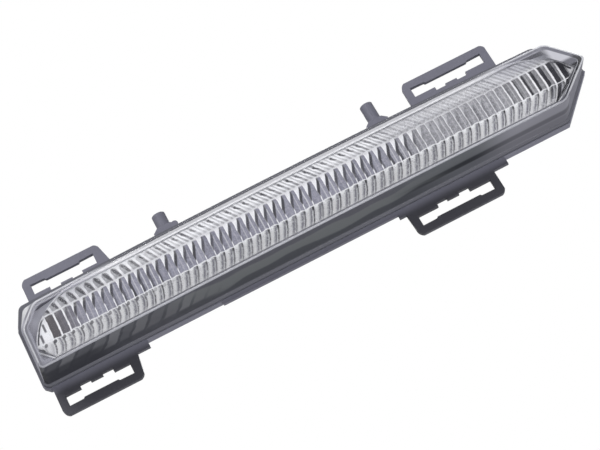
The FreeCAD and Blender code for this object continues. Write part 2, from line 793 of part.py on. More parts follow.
def build_inner_bezel(outline):
    """A frame round the optic that rests on the reflector's front edge."""
    envelope = lens_envelope("bezel_space", "dim.lens_wall + dim.bezel_gap")
    slab = block("bezel_slab", "-dim.half_length", "dim.half_length", "-" + OPTIC_BACK,
                 "-dim.reflector_front", "-dim.flange_top", "dim.flange_top")
    ring = common("bezel_block", slab, envelope)
    opening = prism("bezel_opening", inset("bezel_inner", outline, "dim.bezel_lap"), "dim.lens_depth")
    finish(cut("inner_bezel", ring, opening), "inner_bezel")


def bowl_centres():
    """X of each bowl's centre, as expressions."""
    count = int(number("dim.bowl_count"))
    first = "dim.bowl_inset_left - dim.half_length"
    return ["(%s + %s * %s)" % (first, i + 0.5, BOWL_PITCH) for i in range(count)]


def build_reflector():
    body = new_body("reflector")
    height = "dim.reflector_top - dim.reflector_bottom"
    skin = body_sketch(body, "XY_Plane", "dim.reflector_bottom")
    outer_half = "(%s / 2)" % BOWL_PITCH
    centres = bowl_centres()
    radius = "((%s)^2 / (2 * (dim.bowl_sagitta + dim.bowl_wall - dim.bowl_land)) " \
             "+ (dim.bowl_sagitta + dim.bowl_wall - dim.bowl_land) / 2)" % outer_half
    land = "-dim.reflector_front + dim.bowl_land"
    points = [("%s - %s" % (centres[0], outer_half), "-dim.reflector_front"),
              ("%s + %s" % (centres[-1], outer_half), "-dim.reflector_front")]
    arcs = {}
    for centre in reversed(centres):
        arcs[len(points)] = (radius, -1)
        points.append(("%s + %s" % (centre, outer_half), land))
    points.append(("%s - %s" % (centres[0], outer_half), land))
    draw_path(skin, points, arcs)
    pad(body, skin, height, backwards=False)

    bowls = body_sketch(body, "XY_Plane", "dim.reflector_bottom + dim.bowl_wall")
    inner_half = "(%s / 2 - dim.bowl_land / 2)" % BOWL_PITCH
    inner_radius = "((%s)^2 / (2 * dim.bowl_sagitta) + dim.bowl_sagitta / 2)" % inner_half
    for centre in centres:
        draw_path(bowls, [
            ("%s - %s" % (centre, inner_half), "-dim.reflector_front"),
            ("%s + %s" % (centre, inner_half), "-dim.reflector_front"),
        ], {1: (inner_radius, -1)})
    pocket(body, bowls, height + " - 2 * dim.bowl_wall", backwards=False)

    holes = front_sketch(body, "0")
    for centre in centres:
        draw_square(holes, centre, "dim.led_height", "dim.led_hole")
    pocket(body, holes, REFLECTOR_BACK_Y)

    start = "(dim.bowl_land - dim.reflector_front)"
    shell_floor = "dim.back_bottom_inset + dim.shell_wall - dim.flange_bottom"
    legs = front_sketch(body, start)
    for low, high in (("dim.led_board_high + dim.leg_clearance", "dim.reflector_top"),
                      (shell_floor + " + dim.leg_clearance", "dim.led_board_low - dim.leg_clearance")):
        for centre in centres[1:]:
            joint = "%s - %s / 2" % (centre, BOWL_PITCH)
            draw_box(legs, joint + " - dim.leg_width / 2", low, joint + " + dim.leg_width / 2", high)
    pad(body, legs, "%s - %s" % (BACK_INNER_Y, start))
    finish(body, "reflector")


def build_led(index, centre):
    """One emitter: a square ceramic base with a raised square of phosphor."""
    name = "led_%d" % index
    body = new_body(name)
    base = front_sketch(body, LED_BOARD_Y)
    draw_square(base, centre, "dim.led_height", "dim.led_width")
    pad(body, base, "dim.led_base", backwards=False)
    phosphor = front_sketch(body, "%s - dim.led_base" % LED_BOARD_Y)
    draw_square(phosphor, centre, "dim.led_height", "dim.emitter_width")
    pad(body, phosphor, "dim.emitter_thickness", backwards=False)
    finish(body, name)


def slab_body(name, left, right, low, high, front, thickness):
    """A flat rectangular piece between two X and two Z limits."""
    body = new_body(name)
    sketch = front_sketch(body, front)
    draw_box(sketch, left, low, right, high)
    pad(body, sketch, thickness)
    return finish(body, name)


def island_limits():
    """Left, low, right and high limits of the heat sink's raised middle, which fills its window."""
    return (SINK_LEFT + " + " + ISLAND_EDGE, "dim.sink_low + " + ISLAND_EDGE,
            SINK_RIGHT + " - " + ISLAND_EDGE, "dim.sink_high - " + ISLAND_EDGE)


def build_heat_sink():
    body = new_body("heat_sink")
    plate = front_sketch(body, BACK_OUTER_Y)
    draw_box(plate, SINK_LEFT, "dim.sink_low", SINK_RIGHT, "dim.sink_high")
    for across, up in screw_places():
        draw_circle(plate, across, up, "dim.screw_radius + 2 * dim.screw_clearance")
    pad(body, plate, "dim.sink_plate")
    island = front_sketch(body, BACK_OUTER_Y)
    left, low, right, high = island_limits()
    draw_box(island, left, low, right, high)
    pad(body, island, "%s - %s" % (BACK_OUTER_Y, PAD_BACK_Y), backwards=False)
    fin = front_sketch(body, "%s + dim.sink_plate" % BACK_OUTER_Y)
    draw_box(fin, left, low, right, low + " + dim.fin_thickness")
    first = pad(body, fin, "dim.fin_depth")
    row = body.newObject("PartDesign::LinearPattern", "fins")
    row.Originals = [first]
    row.Direction = (fin, ["V_Axis"])
    row.setExpression("Length", "%s - (%s) - dim.fin_thickness" % (high, low))
    row.setExpression("Occurrences", "dim.fin_count")
    body.Tip = row
    finish(body, "heat_sink")


def build_rear_cover():
    body = new_body("rear_cover")
    left = BAY_LEFT + " - dim.cover_side_lap"
    right = BAY_RIGHT + " + dim.cover_side_lap"
    low = "dim.bay_low - dim.cover_lap - dim.cover_seal_width"
    high = "dim.bay_high + dim.cover_lap + dim.cover_seal_width"
    plate = front_sketch(body, BACK_OUTER_Y)
    draw_box(plate, left, low, right, high)
    for across, up in cover_screw_places():
        draw_circle(plate, across, up, "dim.screw_radius + 2 * dim.screw_clearance")
    pad(body, plate, "dim.cover_plate")
    dome = front_sketch(body, COVER_BACK_Y)
    draw_box(dome, BAY_LEFT, "dim.bay_low", BAY_RIGHT, "dim.bay_high")
    pad(body, dome, "dim.cover_dome")
    hollow = front_sketch(body, BACK_OUTER_Y)
    draw_box(hollow, BAY_LEFT + " + dim.cover_wall", "dim.bay_low + dim.cover_wall",
             BAY_RIGHT + " - dim.cover_wall", "dim.bay_high - dim.cover_wall")
    pocket(body, hollow, "dim.cover_plate + dim.cover_dome - dim.cover_wall")
    groove = front_sketch(body, BACK_OUTER_Y)
    draw_seal_ring(groove, "0")
    pocket(body, groove, "dim.cover_seal_depth")
    socket = front_sketch(body, DOME_OUTER_Y)
    half = "dim.socket_width / 2"
    tall = "dim.socket_height / 2"
    draw_box(socket, "%s - %s - dim.socket_wall" % (BAY_X, half),
             "%s - %s - dim.socket_wall" % (BAY_Z, tall),
             "%s + %s + dim.socket_wall" % (BAY_X, half),
             "%s + %s + dim.socket_wall" % (BAY_Z, tall))
    draw_box(socket, "%s - %s" % (BAY_X, half), "%s - %s" % (BAY_Z, tall),
             "%s + %s" % (BAY_X, half), "%s + %s" % (BAY_Z, tall))
    pad(body, socket, "dim.socket_length")
    slots = front_sketch(body, DOME_INNER_Y)
    for height in terminal_heights():
        draw_terminal(slots, height)
    pocket(body, slots, "dim.cover_wall")
    post = front_sketch(body, DRIVER_BACK_Y)
    for across, up in small_screw_places():
        draw_circle(post, across, up, "dim.cover_post_radius")
        draw_circle(post, across, up, "dim.small_screw_radius + dim.screw_clearance / 2")
    pad(body, post, "%s - %s" % (DOME_INNER_Y, DRIVER_BACK_Y))
    finish(body, "rear_cover")


def draw_seal_ring(sketch, slack):
    """A rectangular ring round the bay, between the window and the cover's screws."""
    near = "(dim.foot_clearance + %s)" % slack
    far = "(dim.foot_clearance + dim.cover_seal_width - %s)" % slack
    for gap in (near, far):
        draw_box(sketch, BAY_LEFT + " - %s" % gap, "dim.bay_low - %s" % gap,
                 BAY_RIGHT + " + %s" % gap, "dim.bay_high + %s" % gap)


def build_rear_cover_seal():
    body = new_body("rear_cover_seal")
    ring = front_sketch(body, BACK_OUTER_Y)
    draw_seal_ring(ring, "dim.screw_clearance")
    pad(body, ring, "dim.cover_seal_depth")
    finish(body, "rear_cover_seal")


def terminal_heights():
    count = int(number("dim.terminal_count"))
    return ["(%s + %s * dim.terminal_pitch)" % (BAY_Z, i - (count - 1) / 2) for i in range(count)]


def draw_terminal(sketch, height):
    half = "dim.terminal_thickness / 2"
    wide = "dim.terminal_width / 2"
    draw_box(sketch, "%s - %s" % (BAY_X, half), "%s - %s" % (height, wide),
             "%s + %s" % (BAY_X, half), "%s + %s" % (height, wide))


def build_terminals():
    for index, height in enumerate(terminal_heights(), start=1):
        body = new_body("terminal_%d" % index)
        sketch = front_sketch(body, DRIVER_BACK_Y)
        draw_terminal(sketch, height)
        pad(body, sketch, "%s + dim.terminal_reach - %s" % (DOME_OUTER_Y, DRIVER_BACK_Y))
        finish(body, "terminal_%d" % index)


def small_screw_places():
    """Two opposite corners of the driver board."""
    return [("(%s + dim.small_screw_inset)" % BAY_LEFT, "(dim.bay_high - dim.small_screw_inset)"),
            ("(%s - dim.small_screw_inset)" % BAY_RIGHT, "(dim.bay_low + dim.small_screw_inset)")]


def build_driver():
    """The driver board, its parts and the link to the emitters' board."""
    gap = "(dim.cover_wall + dim.window_clearance)"
    left = BAY_LEFT + " + " + gap
    right = BAY_RIGHT + " - " + gap
    low = "dim.bay_low + " + gap
    high = "dim.bay_high - " + gap
    board = new_body("driver_board")
    sketch = front_sketch(board, DRIVER_BOARD_Y)
    draw_box(sketch, left, low, right, high)
    for across, up in small_screw_places():
        draw_circle(sketch, across, up, "dim.small_screw_radius + dim.screw_clearance")
    pad(board, sketch, "dim.board_thickness")
    finish(board, "driver_board")

    chip_left = BAY_X + " + dim.driver_chip_inset"
    chip_top = "dim.bay_high - dim.driver_chip_drop"
    slab_body("driver_chip", chip_left, chip_left + " + dim.driver_chip_width",
              chip_top + " - dim.driver_chip_height", chip_top, DRIVER_BACK_Y,
              "dim.driver_chip_thickness")
    coil_left = BAY_LEFT + " + dim.coil_inset"
    coil_low = "dim.bay_low + dim.coil_inset"
    slab_body("driver_coil", coil_left, coil_left + " + dim.coil_width", coil_low,
              coil_low + " + dim.coil_width", DRIVER_BACK_Y, "dim.coil_thickness")
    for index in (1, 2):
        name = "driver_capacitor_%d" % index
        can = new_body(name)
        circle = front_sketch(can, DRIVER_BACK_Y)
        drop = "(dim.capacitor_drop + %d * dim.capacitor_pitch)" % (index - 1)
        draw_circle(circle, BAY_LEFT + " + dim.capacitor_inset", "dim.bay_high - " + drop,
                    "dim.capacitor_radius")
        pad(can, circle, "dim.capacitor_length")
        finish(can, name)
    slab_body("board_link", left, LED_BOARD_RIGHT, "dim.led_height - dim.link_height / 2",
              "dim.led_height + dim.link_height / 2", LED_BOARD_BACK_Y, "dim.driver_board_gap")


def hexagon(centre, radius):
    """A flat hexagon across the Y direction."""
    corners = [centre + FreeCAD.Vector(radius * math.cos(turn), 0, radius * math.sin(turn))
               for turn in (math.radians(60 * side) for side in range(6))]
    return Part.Face(Part.makePolygon(corners + corners[:1]))


def build_screws(name, places, head_y, sizes, way=-1):
    """One node of equal hexagon-head screws whose heads bear at head_y; way is their run along Y."""
    radius, length, head_radius, head_height = [number("dim." + size) for size in sizes]
    along = FreeCAD.Vector(0, way, 0)
    screws = []
    for across, up in places:
        seat = FreeCAD.Vector(number(across), head_y, number(up))
        head = hexagon(seat, head_radius).extrude(along * -head_height)
        screws.append(head.fuse(Part.makeCylinder(radius, length, seat, along)).removeSplitter())
    group = doc.addObject("Part::Feature", name)
    group.Shape = Part.makeCompound(screws)
    finish(group, name)


def build_vent():
    """A mushroom cap on the breather hole, with the membrane that it holds."""
    cap = new_body("vent_cap")
    outer = front_sketch(cap, BACK_OUTER_Y)
    draw_circle(outer, VENT_X, "dim.vent_height", "dim.vent_cap_radius")
    pad(cap, outer, "dim.vent_cap_depth")
    hollow = front_sketch(cap, BACK_OUTER_Y)
    draw_circle(hollow, VENT_X, "dim.vent_height", "dim.vent_cap_radius - dim.vent_cap_wall")
    pocket(cap, hollow, "dim.vent_cap_depth - dim.vent_cap_wall")
    finish(cap, "vent_cap")

    membrane = new_body("vent_membrane")
    disc = front_sketch(membrane, BACK_OUTER_Y)
    draw_circle(disc, VENT_X, "dim.vent_height",
                "dim.vent_cap_radius - dim.vent_cap_wall - dim.screw_clearance")
    pad(membrane, disc, "dim.membrane_thickness")
    finish(membrane, "vent_membrane")


def check_and_write():
    doc.recompute()
    os.makedirs("parts", exist_ok=True)
    for piece in doc.Objects:
        bad = [state for state in piece.State if state in ("Invalid", "Error")]
        if bad:
            raise RuntimeError("%s is %s" % (piece.Name, bad))
    for piece in finished:
        if piece.Shape.isNull() or not piece.Shape.isValid():
            raise RuntimeError("%s has no valid shape" % piece.Label)
    for piece in finished:
        piece.Shape.exportStep("parts/%s.step" % piece.Label)
        print(piece.Label, len(piece.Shape.Solids), round(piece.Shape.Volume, 1))


def main():
    build_cover_lens()
    build_lens_seal()
    build_rear_housing()
    outline = optic_outline("optic_outline")
    prism("optic_trim", outline, "dim.lens_depth")
    build_inner_bezel(outline)
    doc.recompute()
    build_fluted_optic()
    build_reflector()
    for index, centre in enumerate(bowl_centres(), start=1):
        build_led(index, centre)
    slab_body("led_board", SINK_LEFT + " + dim.sink_margin", LED_BOARD_RIGHT,
              "dim.led_board_low", "dim.led_board_high", LED_BOARD_Y, "dim.board_thickness")
    left, low, right, high = island_limits()
    slab_body("thermal_pad", left, right, low, high, LED_BOARD_BACK_Y, "dim.pad_thickness")
    build_heat_sink()
    build_driver()
    build_rear_cover()
    build_rear_cover_seal()
    build_terminals()
    build_vent()
    screw = ("screw_radius", "screw_length", "screw_head_radius", "screw_head_height")
    small_screw = ("small_screw_radius", "small_screw_length", "small_head_radius", "small_head_height")
    build_screws("heat_sink_screws", screw_places(), number(BACK_OUTER_Y + " + dim.sink_plate"), screw)
    build_screws("rear_cover_screws", cover_screw_places(), number(COVER_BACK_Y), screw)
    build_screws("driver_board_screws", small_screw_places(), number(DRIVER_BOARD_Y), small_screw, 1)
    check_and_write()


main()
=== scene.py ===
import json
import math

import bmesh
import bpy
import numpy as np
from mathutils import Matrix, Vector
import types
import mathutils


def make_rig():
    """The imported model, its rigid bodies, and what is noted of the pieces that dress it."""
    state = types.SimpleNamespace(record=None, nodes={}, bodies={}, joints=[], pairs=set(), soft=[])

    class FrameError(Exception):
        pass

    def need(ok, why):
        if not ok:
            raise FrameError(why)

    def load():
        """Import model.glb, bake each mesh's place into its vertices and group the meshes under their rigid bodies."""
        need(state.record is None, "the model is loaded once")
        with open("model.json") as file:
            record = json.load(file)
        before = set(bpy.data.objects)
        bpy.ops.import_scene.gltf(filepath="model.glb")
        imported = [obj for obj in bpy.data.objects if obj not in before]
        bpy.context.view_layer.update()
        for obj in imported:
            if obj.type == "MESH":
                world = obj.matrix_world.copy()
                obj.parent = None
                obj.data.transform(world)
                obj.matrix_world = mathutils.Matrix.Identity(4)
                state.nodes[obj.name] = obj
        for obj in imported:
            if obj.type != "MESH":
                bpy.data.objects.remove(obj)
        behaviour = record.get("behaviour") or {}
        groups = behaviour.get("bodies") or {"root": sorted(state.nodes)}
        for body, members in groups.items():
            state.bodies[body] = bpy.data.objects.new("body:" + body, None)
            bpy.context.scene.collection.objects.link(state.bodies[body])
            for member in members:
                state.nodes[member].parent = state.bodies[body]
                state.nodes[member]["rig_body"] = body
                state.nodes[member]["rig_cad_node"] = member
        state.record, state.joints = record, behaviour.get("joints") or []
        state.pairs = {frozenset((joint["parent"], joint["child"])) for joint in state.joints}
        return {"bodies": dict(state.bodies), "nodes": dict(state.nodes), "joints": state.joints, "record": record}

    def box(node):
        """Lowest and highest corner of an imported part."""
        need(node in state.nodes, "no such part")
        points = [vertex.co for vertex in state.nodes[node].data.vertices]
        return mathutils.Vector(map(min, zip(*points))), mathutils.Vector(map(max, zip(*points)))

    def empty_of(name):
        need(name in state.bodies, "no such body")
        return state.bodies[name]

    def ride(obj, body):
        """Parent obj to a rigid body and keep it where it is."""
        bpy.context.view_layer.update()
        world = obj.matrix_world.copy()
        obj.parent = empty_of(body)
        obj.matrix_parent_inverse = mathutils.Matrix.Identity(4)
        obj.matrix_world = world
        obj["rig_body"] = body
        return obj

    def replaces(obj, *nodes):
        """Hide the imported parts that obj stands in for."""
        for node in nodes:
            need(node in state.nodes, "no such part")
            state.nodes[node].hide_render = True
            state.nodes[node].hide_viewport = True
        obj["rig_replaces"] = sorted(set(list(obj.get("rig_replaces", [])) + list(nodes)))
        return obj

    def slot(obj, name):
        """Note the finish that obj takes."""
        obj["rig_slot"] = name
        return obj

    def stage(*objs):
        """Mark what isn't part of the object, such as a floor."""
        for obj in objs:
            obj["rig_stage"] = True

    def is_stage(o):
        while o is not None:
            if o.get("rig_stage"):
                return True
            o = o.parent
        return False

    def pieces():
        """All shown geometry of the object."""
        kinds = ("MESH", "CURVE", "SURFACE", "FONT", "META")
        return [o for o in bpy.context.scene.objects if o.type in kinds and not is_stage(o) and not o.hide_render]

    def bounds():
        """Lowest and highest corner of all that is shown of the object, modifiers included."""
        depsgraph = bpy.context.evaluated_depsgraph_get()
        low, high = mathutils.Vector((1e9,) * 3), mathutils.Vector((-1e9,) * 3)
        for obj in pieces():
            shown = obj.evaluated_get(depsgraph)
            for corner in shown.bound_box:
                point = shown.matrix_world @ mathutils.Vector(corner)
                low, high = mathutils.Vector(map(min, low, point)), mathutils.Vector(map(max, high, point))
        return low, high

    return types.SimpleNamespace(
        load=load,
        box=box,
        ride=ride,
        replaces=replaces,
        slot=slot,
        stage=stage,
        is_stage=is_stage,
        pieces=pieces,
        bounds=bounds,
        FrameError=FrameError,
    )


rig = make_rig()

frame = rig.load()
cadLow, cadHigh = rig.bounds()
nodes = frame["nodes"]

# The lamp's own axes: X from mid-length, Y from the flange's front face, Z from the window's middle.
# All lengths below are millimetres along them, and toRow turns them into metres in the row's frame.
lampFrame = {"lensDepth": 26.0, "tabTop": 42.7, "halfLength": 150.0}
halfLength = lampFrame["halfLength"]
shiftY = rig.box("cover_lens")[0].y * 1000 + lampFrame["lensDepth"]
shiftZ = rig.box("rear_housing")[1].z * 1000 - lampFrame["tabTop"]
rowShift = np.array([0.0, shiftY, shiftZ])


def toRow(points):
    return (np.asarray(points, float) + rowShift) / 1000


class Sizes(dict):
    # a dictionary whose values are read as names too
    __getattr__ = dict.__getitem__


# Mesh helpers

def newObject(name, data):
    holder = bpy.data.objects.new(name, data)
    bpy.context.scene.collection.objects.link(holder)
    return holder


def newPiece(name, verts, faces, uv, smooth=True):
    mesh = bpy.data.meshes.new(name)
    mesh.from_pydata(toRow(verts).tolist(), [], faces.tolist())
    layer = mesh.uv_layers.new(name="UVMap")
    loopVerts = np.zeros(len(mesh.loops), np.int32)
    mesh.loops.foreach_get("vertex_index", loopVerts)
    layer.data.foreach_set("uv", np.asarray(uv, np.float32)[loopVerts].ravel())
    mesh.polygons.foreach_set("use_smooth", [smooth] * len(mesh.polygons))
    mesh.update()
    return newObject(name, mesh)


def ringFaces(rings, count, closeAlong=False):
    # quads between neighbouring closed rings of the same number of points
    ring = np.arange(rings if closeAlong else rings - 1)[:, None] * count
    following = (ring + count) % (rings * count)
    step = np.arange(count)[None, :]
    turn = (step + 1) % count
    quads = np.stack([ring + step, ring + turn, following + turn, following + step], -1)
    return quads.reshape(-1, 4)


def mergedFaces(piece, distance=1e-7, outward=True):
    # doubles at poles and seams become one point, and faces look outwards; the distance is in metres
    bm = bmesh.new()
    bm.from_mesh(piece.data)
    bmesh.ops.remove_doubles(bm, verts=bm.verts, dist=distance)
    bmesh.ops.dissolve_degenerate(bm, edges=bm.edges, dist=distance)
    if outward:
        bmesh.ops.recalc_face_normals(bm, faces=bm.faces)
    bm.to_mesh(piece.data)
    bm.free()
    return piece


# join in metres, flat and sharp in degrees, shortest eased edge in millimetres
easedEdges = Sizes({"segments": 2, "join": 2e-6, "flat": 0.05, "sharp": 30, "shortest": 2.5})


def softenedCopy(node, name, width):
    # the node's own solid with its loose triangles joined and its longer edges lightly rounded
    mesh = nodes[node].data.copy()
    mesh.materials.clear()
    bm = bmesh.new()
    bm.from_mesh(mesh)
    bmesh.ops.remove_doubles(bm, verts=bm.verts, dist=easedEdges.join)
    bmesh.ops.dissolve_limit(bm, angle_limit=math.radians(easedEdges.flat), verts=bm.verts,
                             edges=bm.edges)
    weight = bm.edges.layers.float.new("bevel_weight_edge")
    for edge in bm.edges:
        sharp = edge.is_manifold and edge.calc_face_angle(0.0) > math.radians(easedEdges.sharp)
        edge[weight] = 1.0 if sharp and edge.calc_length() > easedEdges.shortest / 1000 else 0.0
    bm.to_mesh(mesh)
    bm.free()
    mesh.polygons.foreach_set("use_smooth", [False] * len(mesh.polygons))
    piece = newObject(name, mesh)
    bevel = piece.modifiers.new("roundedEdges", "BEVEL")
    bevel.width = width / 1000
    bevel.segments = easedEdges.segments
    bevel.limit_method = "WEIGHT"
    bevel.use_clamp_overlap = False
    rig.replaces(piece, node)
    return piece


def dress(piece, material):
    piece.data.materials.clear()
    piece.data.materials.append(material)


def settle(piece, slot, material):
    dress(piece, material)
    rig.ride(piece, "root")
    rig.slot(piece, slot)


# Shader helpers

class Value:
    # an output of a shader node; sums, differences, products and quotients of values are nodes too
    def __init__(self, kit, socket):
        self.kit, self.socket = kit, socket

    def __add__(self, other):
        return self.kit.math("ADD", self, other)

    def __mul__(self, other):
        return self.kit.math("MULTIPLY", self, other)

    def __sub__(self, other):
        return self.kit.math("SUBTRACT", self, other)

    def __rsub__(self, other):
        return self.kit.math("SUBTRACT", other, self)

    def __truediv__(self, other):
        return self.kit.math("DIVIDE", self, other)

    __radd__, __rmul__ = __add__, __mul__

    def whole(self):
        return self.kit.math("FLOOR", self)

    def rest(self):
        return self.kit.math("FRACT", self)

    def power(self, exponent):
        return self.kit.math("POWER", self, exponent)

    def most(self, *others):
        result = self
        for other in others:
            result = self.kit.math("MAXIMUM", result, other)
        return result

    def ramp(self, low, high, start, end, **settings):
        # straight from start at low to end at high, level outside
        return self.kit.value("ShaderNodeMapRange", 0, {
            "Value": self, "From Min": low, "From Max": high, "To Min": start, "To Max": end}, **settings)

    def share(self, start, end=1.0):
        # from start to end as the value goes from 0 to 1
        return self.ramp(0.0, 1.0, start, end)

    def band(self, low, high):
        # 0 below low, 1 above high, smooth between
        return self.ramp(low, high, 0.0, 1.0, interpolation_type="SMOOTHSTEP")

    def strip(self, low, high, soft):
        # 1 between low and high, 0 outside, with soft edges
        return (self - low).band(-soft, soft) * (1 - (self - high).band(-soft, soft))

    def zone(self, limits):
        # two limits make a band and three a strip
        return self.band(*limits) if len(limits) == 2 else self.strip(*limits)

    def zones(self, table):
        return Sizes({name: self.zone(limits) for name, limits in table.items()})

    def chance(self, seed):
        # the same random number from 0 to 1 for each whole value
        return self.kit.value("ShaderNodeTexWhiteNoise", "Value", {"W": self + seed},
                              noise_dimensions="1D")


class Nodes:
    def __init__(self, tree, tones=None):
        self.tree, self.tones = tree, tones

    def fill(self, node, inputs):
        for name, value in inputs.items():
            if isinstance(value, Value):
                self.tree.links.new(value.socket, node.inputs[name])
            else:
                node.inputs[name].default_value = value

    def values(self, kind, names, inputs=None, **settings):
        # the named outputs of a new node
        node = self.tree.nodes.new(kind)
        for key, value in settings.items():
            setattr(node, key, value)
        self.fill(node, inputs or {})
        return [Value(self, node.outputs[name]) for name in names]

    def value(self, kind, name, inputs=None, **settings):
        return self.values(kind, (name,), inputs, **settings)[0]

    def math(self, operation, a, b=0.0, clamp=False):
        return self.value("ShaderNodeMath", 0, {0: a, 1: b}, operation=operation, use_clamp=clamp)

    def mix(self, share, a, b):
        # from a to b, each a colour, a value or the name of a tone
        a, b = ((*self.tones[tone], 1) if isinstance(tone, str) else tone for tone in (a, b))
        return self.value("ShaderNodeMix", 2, {"Factor": share, 6: a, 7: b}, data_type="RGBA")

    def spot(self, a, aMiddle, aReach, b, bMiddle, bReach):
        # 1 in the middle of an ellipse, 0 outside it
        across, along = (a - aMiddle) / aReach, (b - bMiddle) / bReach
        return 1 - (across * across + along * along).band(0.35, 1.0)

    def noise(self, vector, scale, detail=3.0, rough=0.55):
        return self.value("ShaderNodeTexNoise", "Fac", {
            "Vector": vector, "Scale": scale, "Detail": detail, "Roughness": rough})

    def bump(self, height, strength, distance):
        return self.value("ShaderNodeBump", "Normal", {
            "Height": height, "Strength": strength, "Distance": distance})

    def place(self):
        return self.value("ShaderNodeTexCoord", "Object")

    def parts(self, vector):
        return self.values("ShaderNodeSeparateXYZ", ("X", "Y", "Z"), {"Vector": vector})

    def lampPlace(self):
        # millimetres along the lamp's own axes
        x, y, z = self.parts(self.place())
        return x * 1000.0, y * 1000.0 - shiftY, z * 1000.0 - shiftZ

    def uv(self):
        return self.parts(self.value("ShaderNodeUVMap", "UV"))[:2]


def newMaterial(name, tones=None):
    material = bpy.data.materials.new(name)
    material.use_nodes = True
    shader = next(n for n in material.node_tree.nodes if n.type == "BSDF_PRINCIPLED")
    return material, Nodes(material.node_tree, tones), shader


def grey(value):
    return (value, value, value, 1.0)


def mouldedGrainGroup():
    # fine moulded grain: mottled share for the colour, roughness and a height for the bump
    tree = bpy.data.node_groups.new("mouldedGrain", "ShaderNodeTree")
    given, made = ("Scale", "Mottle", "Roughness"), ("Share", "Rough", "Height")
    for side, labels in (("INPUT", given), ("OUTPUT", made)):
        for label in labels:
            tree.interface.new_socket(name=label, in_out=side, socket_type="NodeSocketFloat")
    kit = Nodes(tree)
    scale, mottle, rough = kit.values("NodeGroupInput", given)
    place = kit.place()
    fine = kit.noise(place, scale, rough=0.5)
    share = (kit.noise(place, 45.0, 4.0) - 0.5) * mottle + 0.5
    kit.values("NodeGroupOutput", (), {
        "Share": share, "Rough": rough + (fine - 0.5) * 0.25, "Height": fine})
    return tree


# Camera, from the photograph: below the lamp and a little to its left, rolled so that it rises

cameraSetup = Sizes({
    "azimuth": 6.0, "elevation": 25.0, "roll": 29.54, "distance": 762.0, "focal": 1600.0, "sensor": 36.0,
    "imageWidth": 600.0, "imageHeight": 450.0, "aimPoint": (-1.35, 0.0, 0.0), "aimPixel": (312.95, 217.9),
    "clipStart": 0.01,
})


def placeCamera(c):
    a, e, roll = (math.radians(c[k]) for k in ("azimuth", "elevation", "roll"))
    right = np.array([math.cos(a), -math.sin(a), 0.0])
    ahead = np.array([math.sin(a) * math.cos(e), math.cos(a) * math.cos(e), math.sin(e)])
    up = np.array([-math.sin(a) * math.sin(e), -math.cos(a) * math.sin(e), math.cos(e)])
    rolledRight = math.cos(roll) * right - math.sin(roll) * up
    rolledUp = math.sin(roll) * right + math.cos(roll) * up
    across = (c.aimPixel[0] - c.imageWidth / 2) / c.focal * c.distance
    upward = -(c.aimPixel[1] - c.imageHeight / 2) / c.focal * c.distance
    target = np.array(c.aimPoint) - across * rolledRight - upward * rolledUp
    camera = newObject("photoCamera", bpy.data.cameras.new("photoCamera"))
    camera.data.sensor_width = c.sensor
    camera.data.lens = c.focal / c.imageWidth * c.sensor
    camera.data.clip_start = c.clipStart
    axes = Matrix((rolledRight, rolledUp, -ahead)).transposed().to_4x4()
    axes.translation = Vector(toRow(target - c.distance * ahead))
    camera.matrix_world = axes
    bpy.context.scene.camera = camera


placeCamera(cameraSetup)
print("camera placed")


# Light, backdrop and floor; places and sizes in metres

studio = {
    "fill": 0.13,
    "floor": {"height": -0.0386, "size": 6.0, "tone": 0.9, "roughness": 0.9, "fade": (0.3, 0.75)},
    "lamps": {
        "key": {"place": (-0.9, -1.8, 1.75), "size": (1.8, 1.0), "power": 52.0},
        "front": {"place": (0.5, -2.2, -0.7), "size": (1.4, 0.9), "power": 26.0},
        "back": {"place": (0.5, 2.0, 1.4), "size": (1.6, 1.2), "power": 26.0},
        "under": {"place": (0.3, -0.3, -1.5), "size": (1.6, 1.0), "power": 16.5},
    },
}


def placeLamp(name, lamp):
    light = bpy.data.lights.new(name, "AREA")
    light.shape = "RECTANGLE"
    light.size, light.size_y = lamp["size"]
    light.energy = lamp["power"]
    holder = newObject(name, light)
    holder.location = lamp["place"]
    holder.rotation_euler = (-Vector(lamp["place"])).to_track_quat("-Z", "Y").to_euler()
    holder.visible_camera = False


def buildRoom(fill):
    # white for the camera and for gloss and glass, and a weak fill for everything else
    world = bpy.data.worlds.new("paleRoom")
    world.use_nodes = True
    bpy.context.scene.world = world
    kit = Nodes(world.node_tree)
    camera, gloss, glass = kit.values("ShaderNodeLightPath", (
        "Is Camera Ray", "Is Glossy Ray", "Is Transmission Ray"))
    seen = kit.math("ADD", camera + gloss, glass, clamp=True)
    background = next(n for n in world.node_tree.nodes if n.type == "BACKGROUND")
    kit.fill(background, {"Color": grey(1.0), "Strength": seen * (1 - fill) + fill})


def buildFloor(f):
    half = f["size"] / 2
    mesh = bpy.data.meshes.new("studioFloor")
    corners = [(-half, -half), (half, -half), (half, half), (-half, half)]
    mesh.from_pydata([(x, y, f["height"]) for x, y in corners], [], [(0, 1, 2, 3)])
    floor = newObject("studioFloor", mesh)
    material, kit, shader = newMaterial("paleFloor")
    # the floor shows from above only, fades out into the white room and bounces no light
    reach = kit.value("ShaderNodeVectorMath", "Value", {0: kit.place()}, operation="LENGTH")
    front = 1 - kit.value("ShaderNodeNewGeometry", "Backfacing")
    looked = kit.value("ShaderNodeLightPath", "Is Camera Ray")
    kit.fill(shader, {"Base Color": grey(f["tone"]), "Roughness": f["roughness"],
                      "Alpha": front * (1 - reach.band(*f["fade"])) * looked})
    mesh.materials.append(material)
    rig.stage(floor)


buildRoom(studio["fill"])
buildFloor(studio["floor"])
for lampName, lamp in studio["lamps"].items():
    placeLamp(lampName + "Light", lamp)
bpy.context.scene.view_settings.view_transform = "Standard"
print("studio built")


# Outlines of the lens and flange, seen from the front

